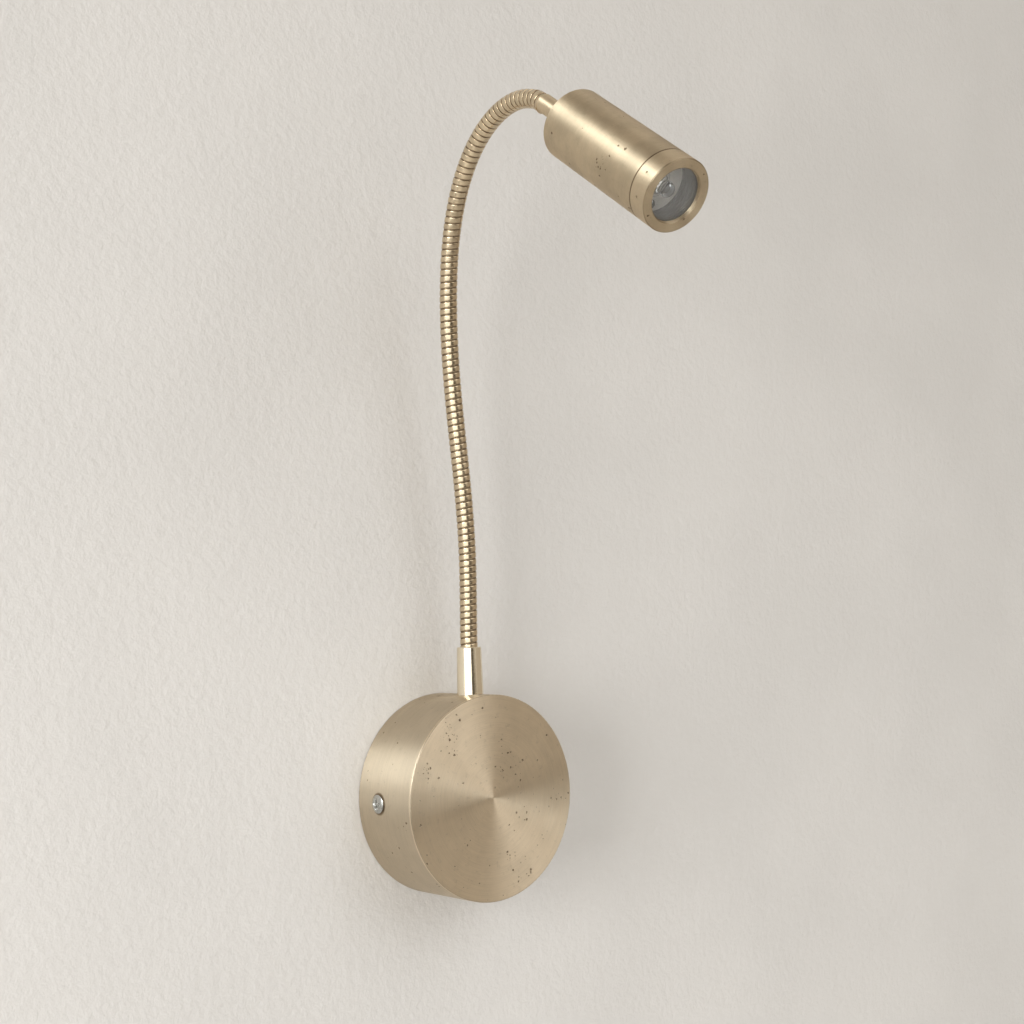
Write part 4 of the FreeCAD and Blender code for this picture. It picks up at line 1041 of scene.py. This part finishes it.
class LAMP_OT_head(bpy.types.Operator):
    """Finish the head: barrel, bezel, glass, lens, LED and board"""
    bl_idname = "reading_lamp.head"
    bl_label = "Lamp head"

    def execute(self, context):
        washer, axis = head_place()
        across, up = cross_axes(axis)
        _, barrel_end, radius = reach_along("head_barrel", washer, axis)
        front = reach_along("bezel_ring", washer, axis)[1]
        aperture = 9.45 * MM
        patch = washer + axis * 33 * MM + (across * -0.994 + up * -0.11) * radius
        brass = lamp().colours.aged_brass
        seam = (radius, barrel_end, 0.5 * MM)
        dress("head_barrel", brushed_brass("barrel_brass", shade(brass, 0.88), washer, axis,
                                           ((patch, 6 * MM, 0.5),), (seam,), grain=0.5,
                                           clouds=0.18))
        rims = ((radius, front, 0.5 * MM), (aperture, front, 0.5 * MM), seam)
        dress("bezel_ring", brushed_brass("bezel_brass", shade(brass, 0.93), washer, axis, (),
                                          rims, grain=0.5, clouds=0.12))
        zinc = plated_steel("head_zinc", (0.60, 0.61, 0.62), 0.38)
        for name in ("head_washer", "head_nut"):
            dress(name, zinc)
        dress("heat_sink", plated_steel("turned_aluminium", (0.68, 0.69, 0.70), 0.32))
        dress("led_board", board_finish("board_mask", washer, axis))
        dress("led_body", led_finish("led_ceramic", washer, axis))
        dress("led_dome", clear_finish("led_silicone", (0.98, 0.95, 0.88), 1.41, 0.02))
        dress("spacer_tube", ribbed_spacer("dark_anodised", washer, axis))
        dress("glass_gasket", moulded_plastic("gasket_rubber", (0.015, 0.015, 0.015), 0.6))
        dress("cover_glass", clear_finish("cover_glass_clear", (0.98, 0.99, 0.99), 1.46, 0.0,
                                          clearness=0.93))
        self.lens(washer, axis)
        return {"FINISHED"}

    def lens(self, washer, axis):
        """Clear lens: a flange, a straight body and a half-round top, turned about the
        head's axis, with a stepped pocket for the LED behind. The profile runs from the
        pocket's point outwards, up the outside and over the dome to the axis."""
        sizes = lamp().lens
        low, high, _ = reach_along("lens", washer, axis)
        step = reach_along("led_body", washer, axis)[1] + 0.05 * MM
        body = sizes.diameter / 2
        turn = np.linspace(0.0, np.pi / 2, 14)
        dome = [(body * np.cos(angle), high - body + body * np.sin(angle)) for angle in turn]
        top = step + sizes.dome_height
        profile = [(0.0, top + sizes.cone_height), (sizes.dome_pocket / 2, top),
                   (sizes.dome_pocket / 2, step), (sizes.pocket / 2, step),
                   (sizes.pocket / 2, low), (sizes.foot / 2, low),
                   (sizes.foot / 2, low + sizes.foot_height),
                   (body, low + sizes.foot_height), *dome]
        radii, heights = np.array(profile).T
        radii[-1] = 0.0
        mesh = grid_mesh("led_lens", round_grid(washer, axis, radii, heights, 96), True, True)
        crease(mesh, 30)
        piece = new_piece("led_lens", mesh, clear_finish("lens_acrylic", (0.97, 0.98, 0.98),
                                                         1.49, 0.0))
        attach(piece, "head")
        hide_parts("lens")


class LAMP_OT_studio(bpy.types.Operator):
    """Set up the wall, the floor, the lights and the camera"""
    bl_idname = "reading_lamp.studio"
    bl_label = "Studio"

    def execute(self, context):
        self.cove()
        self.lights()
        self.camera(context)
        context.scene.view_settings.view_transform = "Standard"
        context.scene.view_settings.look = "None"
        return {"FINISHED"}

    def cove(self):
        """Wall that curves down into a floor: a quarter circle between two flats."""
        half_width, height, depth, drop, bend = 3.0, 2.5, 3.0, -0.9, 0.4
        turn = np.linspace(0.0, np.pi / 2, 13)
        back = np.concatenate([[0.0], bend * (np.cos(turn) - 1), [-depth]]) + 0.3 * MM
        level = np.concatenate([[height], drop + bend * (1 - np.sin(turn)), [drop]])
        rows = np.stack([np.stack([np.full(len(back), side), back, level], axis=1)
                         for side in (-half_width, half_width)], axis=1)
        mesh = grid_mesh("studio_cove", rows[::-1], False)
        cove = new_piece("studio_cove", mesh, wall_plaster("wall_plaster"))

    def lights(self):
        """Window and bright left of the room, which only the metal shows, a soft wash and a
        weak light in front, which it doesn't, and the room: a bright patch of ceiling, and
        a dark strip straight ahead of the wall."""
        studio = lamp().studio
        aim = Vector((-0.01, -0.08, 0.1))
        white = (1.0, 0.985, 0.96)
        daylight = (0.90, 0.96, 1.0)
        window = self.area("window_light", Vector((-1.80, -0.58, 1.02)), aim, 1.05, 1.15,
                           studio.key_power, daylight)
        room = self.area("left_room", Vector((-1.50, -1.12, 0.20)), aim, 2.3, 1.25,
                         studio.room_power, daylight)
        window.visible_diffuse = room.visible_diffuse = False
        wash = self.area("wall_wash", Vector((-1.75, -0.62, 0.15)), aim, 0.9, 0.9,
                         studio.wash_power, white)
        wash.visible_glossy = False
        bounce = self.area("front_bounce", Vector((0.0, -0.90, -0.35)), aim, 0.7, 0.7,
                           studio.bounce_power, white)
        bounce.visible_glossy = False
        world = bpy.data.worlds.new("studio_room")
        bpy.context.scene.world = world
        world.use_nodes = True
        tree = world.node_tree
        direction = add_node(tree, "ShaderNodeTexCoord").outputs["Generated"]
        height = reckon(tree, "DOT_PRODUCT", direction, Vector((0.0, 0.0, 1.0)))
        flat = reckon(tree, "NORMALIZE",
                      reckon(tree, "MULTIPLY", direction, Vector((1.0, 1.0, 0.0))))
        glow = reckon(tree, "DOT_PRODUCT", direction, Vector((0.2, -0.85, 0.487)))
        ahead = reckon(tree, "DOT_PRODUCT", flat, WALL_AXIS)
        dark = calc(tree, "MULTIPLY", ease(tree, ahead, 0.92, 0.96),
                    ease(tree, calc(tree, "ABSOLUTE", height), 0.70, 0.92, 1.0, 0.0))
        total = ease(tree, height, -0.45, 0.15, 0.33, 0.5)
        total = self.toward(tree, total, 0.10, dark)
        total = self.toward(tree, total, 1.9, ease(tree, glow, 0.84, 0.98))
        background = tree.nodes["Background"]
        put(tree, background.inputs["Color"],
            blend_colours(tree, ease(tree, total, 0.2, 1.2), (1.0, 0.85, 0.67),
                          (1.0, 0.985, 0.96)))
        put(tree, background.inputs["Strength"],
            calc(tree, "MULTIPLY", total, studio.sky_power))

    def toward(self, tree, value, target, share):
        """Move a value a share of the way to a target."""
        left = calc(tree, "MULTIPLY", value, calc(tree, "SUBTRACT", 1.0, share))
        return calc(tree, "MULTIPLY_ADD", share, target, left)

    def area(self, name, place, aim, width, height, power, colour):
        data = bpy.data.lights.new(name, "AREA")
        data.shape = "RECTANGLE"
        data.size = width
        data.size_y = height
        data.energy = power
        data.color = colour
        light = bpy.data.objects.new(name, data)
        light.location = place
        light.rotation_euler = (aim - place).to_track_quat("-Z", "Y").to_euler()
        bpy.context.scene.collection.objects.link(light)
        return light

    def camera(self, context):
        studio = lamp().studio
        turn, rise, roll = studio.camera_azimuth, studio.camera_height, studio.camera_roll
        back = Vector((math.sin(turn) * math.cos(rise), -math.cos(turn) * math.cos(rise),
                       math.sin(rise)))
        right = Vector((0.0, 0.0, 1.0)).cross(back).normalized()
        up = back.cross(right)
        right, up = (math.cos(roll) * right + math.sin(roll) * up,
                     math.cos(roll) * up - math.sin(roll) * right)
        data = bpy.data.cameras.new("camera")
        data.sensor_width = 36.0
        data.lens = studio.lens
        data.clip_start = 0.01
        data.dof.use_dof = False
        camera = bpy.data.objects.new("camera", data)
        turned = Matrix((right, up, back)).transposed().to_4x4()
        camera.matrix_world = Matrix.Translation(studio.camera_place) @ turned
        context.scene.collection.objects.link(camera)
        context.scene.camera = camera


class LAMP_PT_panel(bpy.types.Panel):
    """Steps and settings of the reading lamp"""
    bl_idname = "LAMP_PT_panel"
    bl_label = "Reading lamp"
    bl_space_type = "VIEW_3D"
    bl_region_type = "UI"
    bl_category = "Reading lamp"

    def draw(self, context):
        settings = context.scene.reading_lamp
        for group in (settings.colours, settings.neck, settings.lead, settings.lens,
                      settings.studio):
            box = self.layout.box()
            for name in group.bl_rna.properties.keys():
                if name not in ("rna_type", "name"):
                    box.prop(group, name)
        for step in STEPS:
            self.layout.operator(step.bl_idname)


STEPS = (LAMP_OT_studio, LAMP_OT_canopy, LAMP_OT_screws, LAMP_OT_neck, LAMP_OT_lead,
         LAMP_OT_head)
CLASSES = (LampColours, NeckSizes, LeadSizes, LensSizes, StudioSettings, LampSettings,
           *STEPS, LAMP_PT_panel)


def register():
    for item in CLASSES:
        bpy.utils.register_class(item)
    bpy.types.Scene.reading_lamp = PointerProperty(type=LampSettings)


def unregister():
    del bpy.types.Scene.reading_lamp
    for item in reversed(CLASSES):
        bpy.utils.unregister_class(item)


def main():
    register()
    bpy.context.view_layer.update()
    for step in STEPS:
        group, name = step.bl_idname.split(".")
        getattr(getattr(bpy.ops, group), name)()
    bpy.context.view_layer.update()


if __name__ == "__main__":
    main()
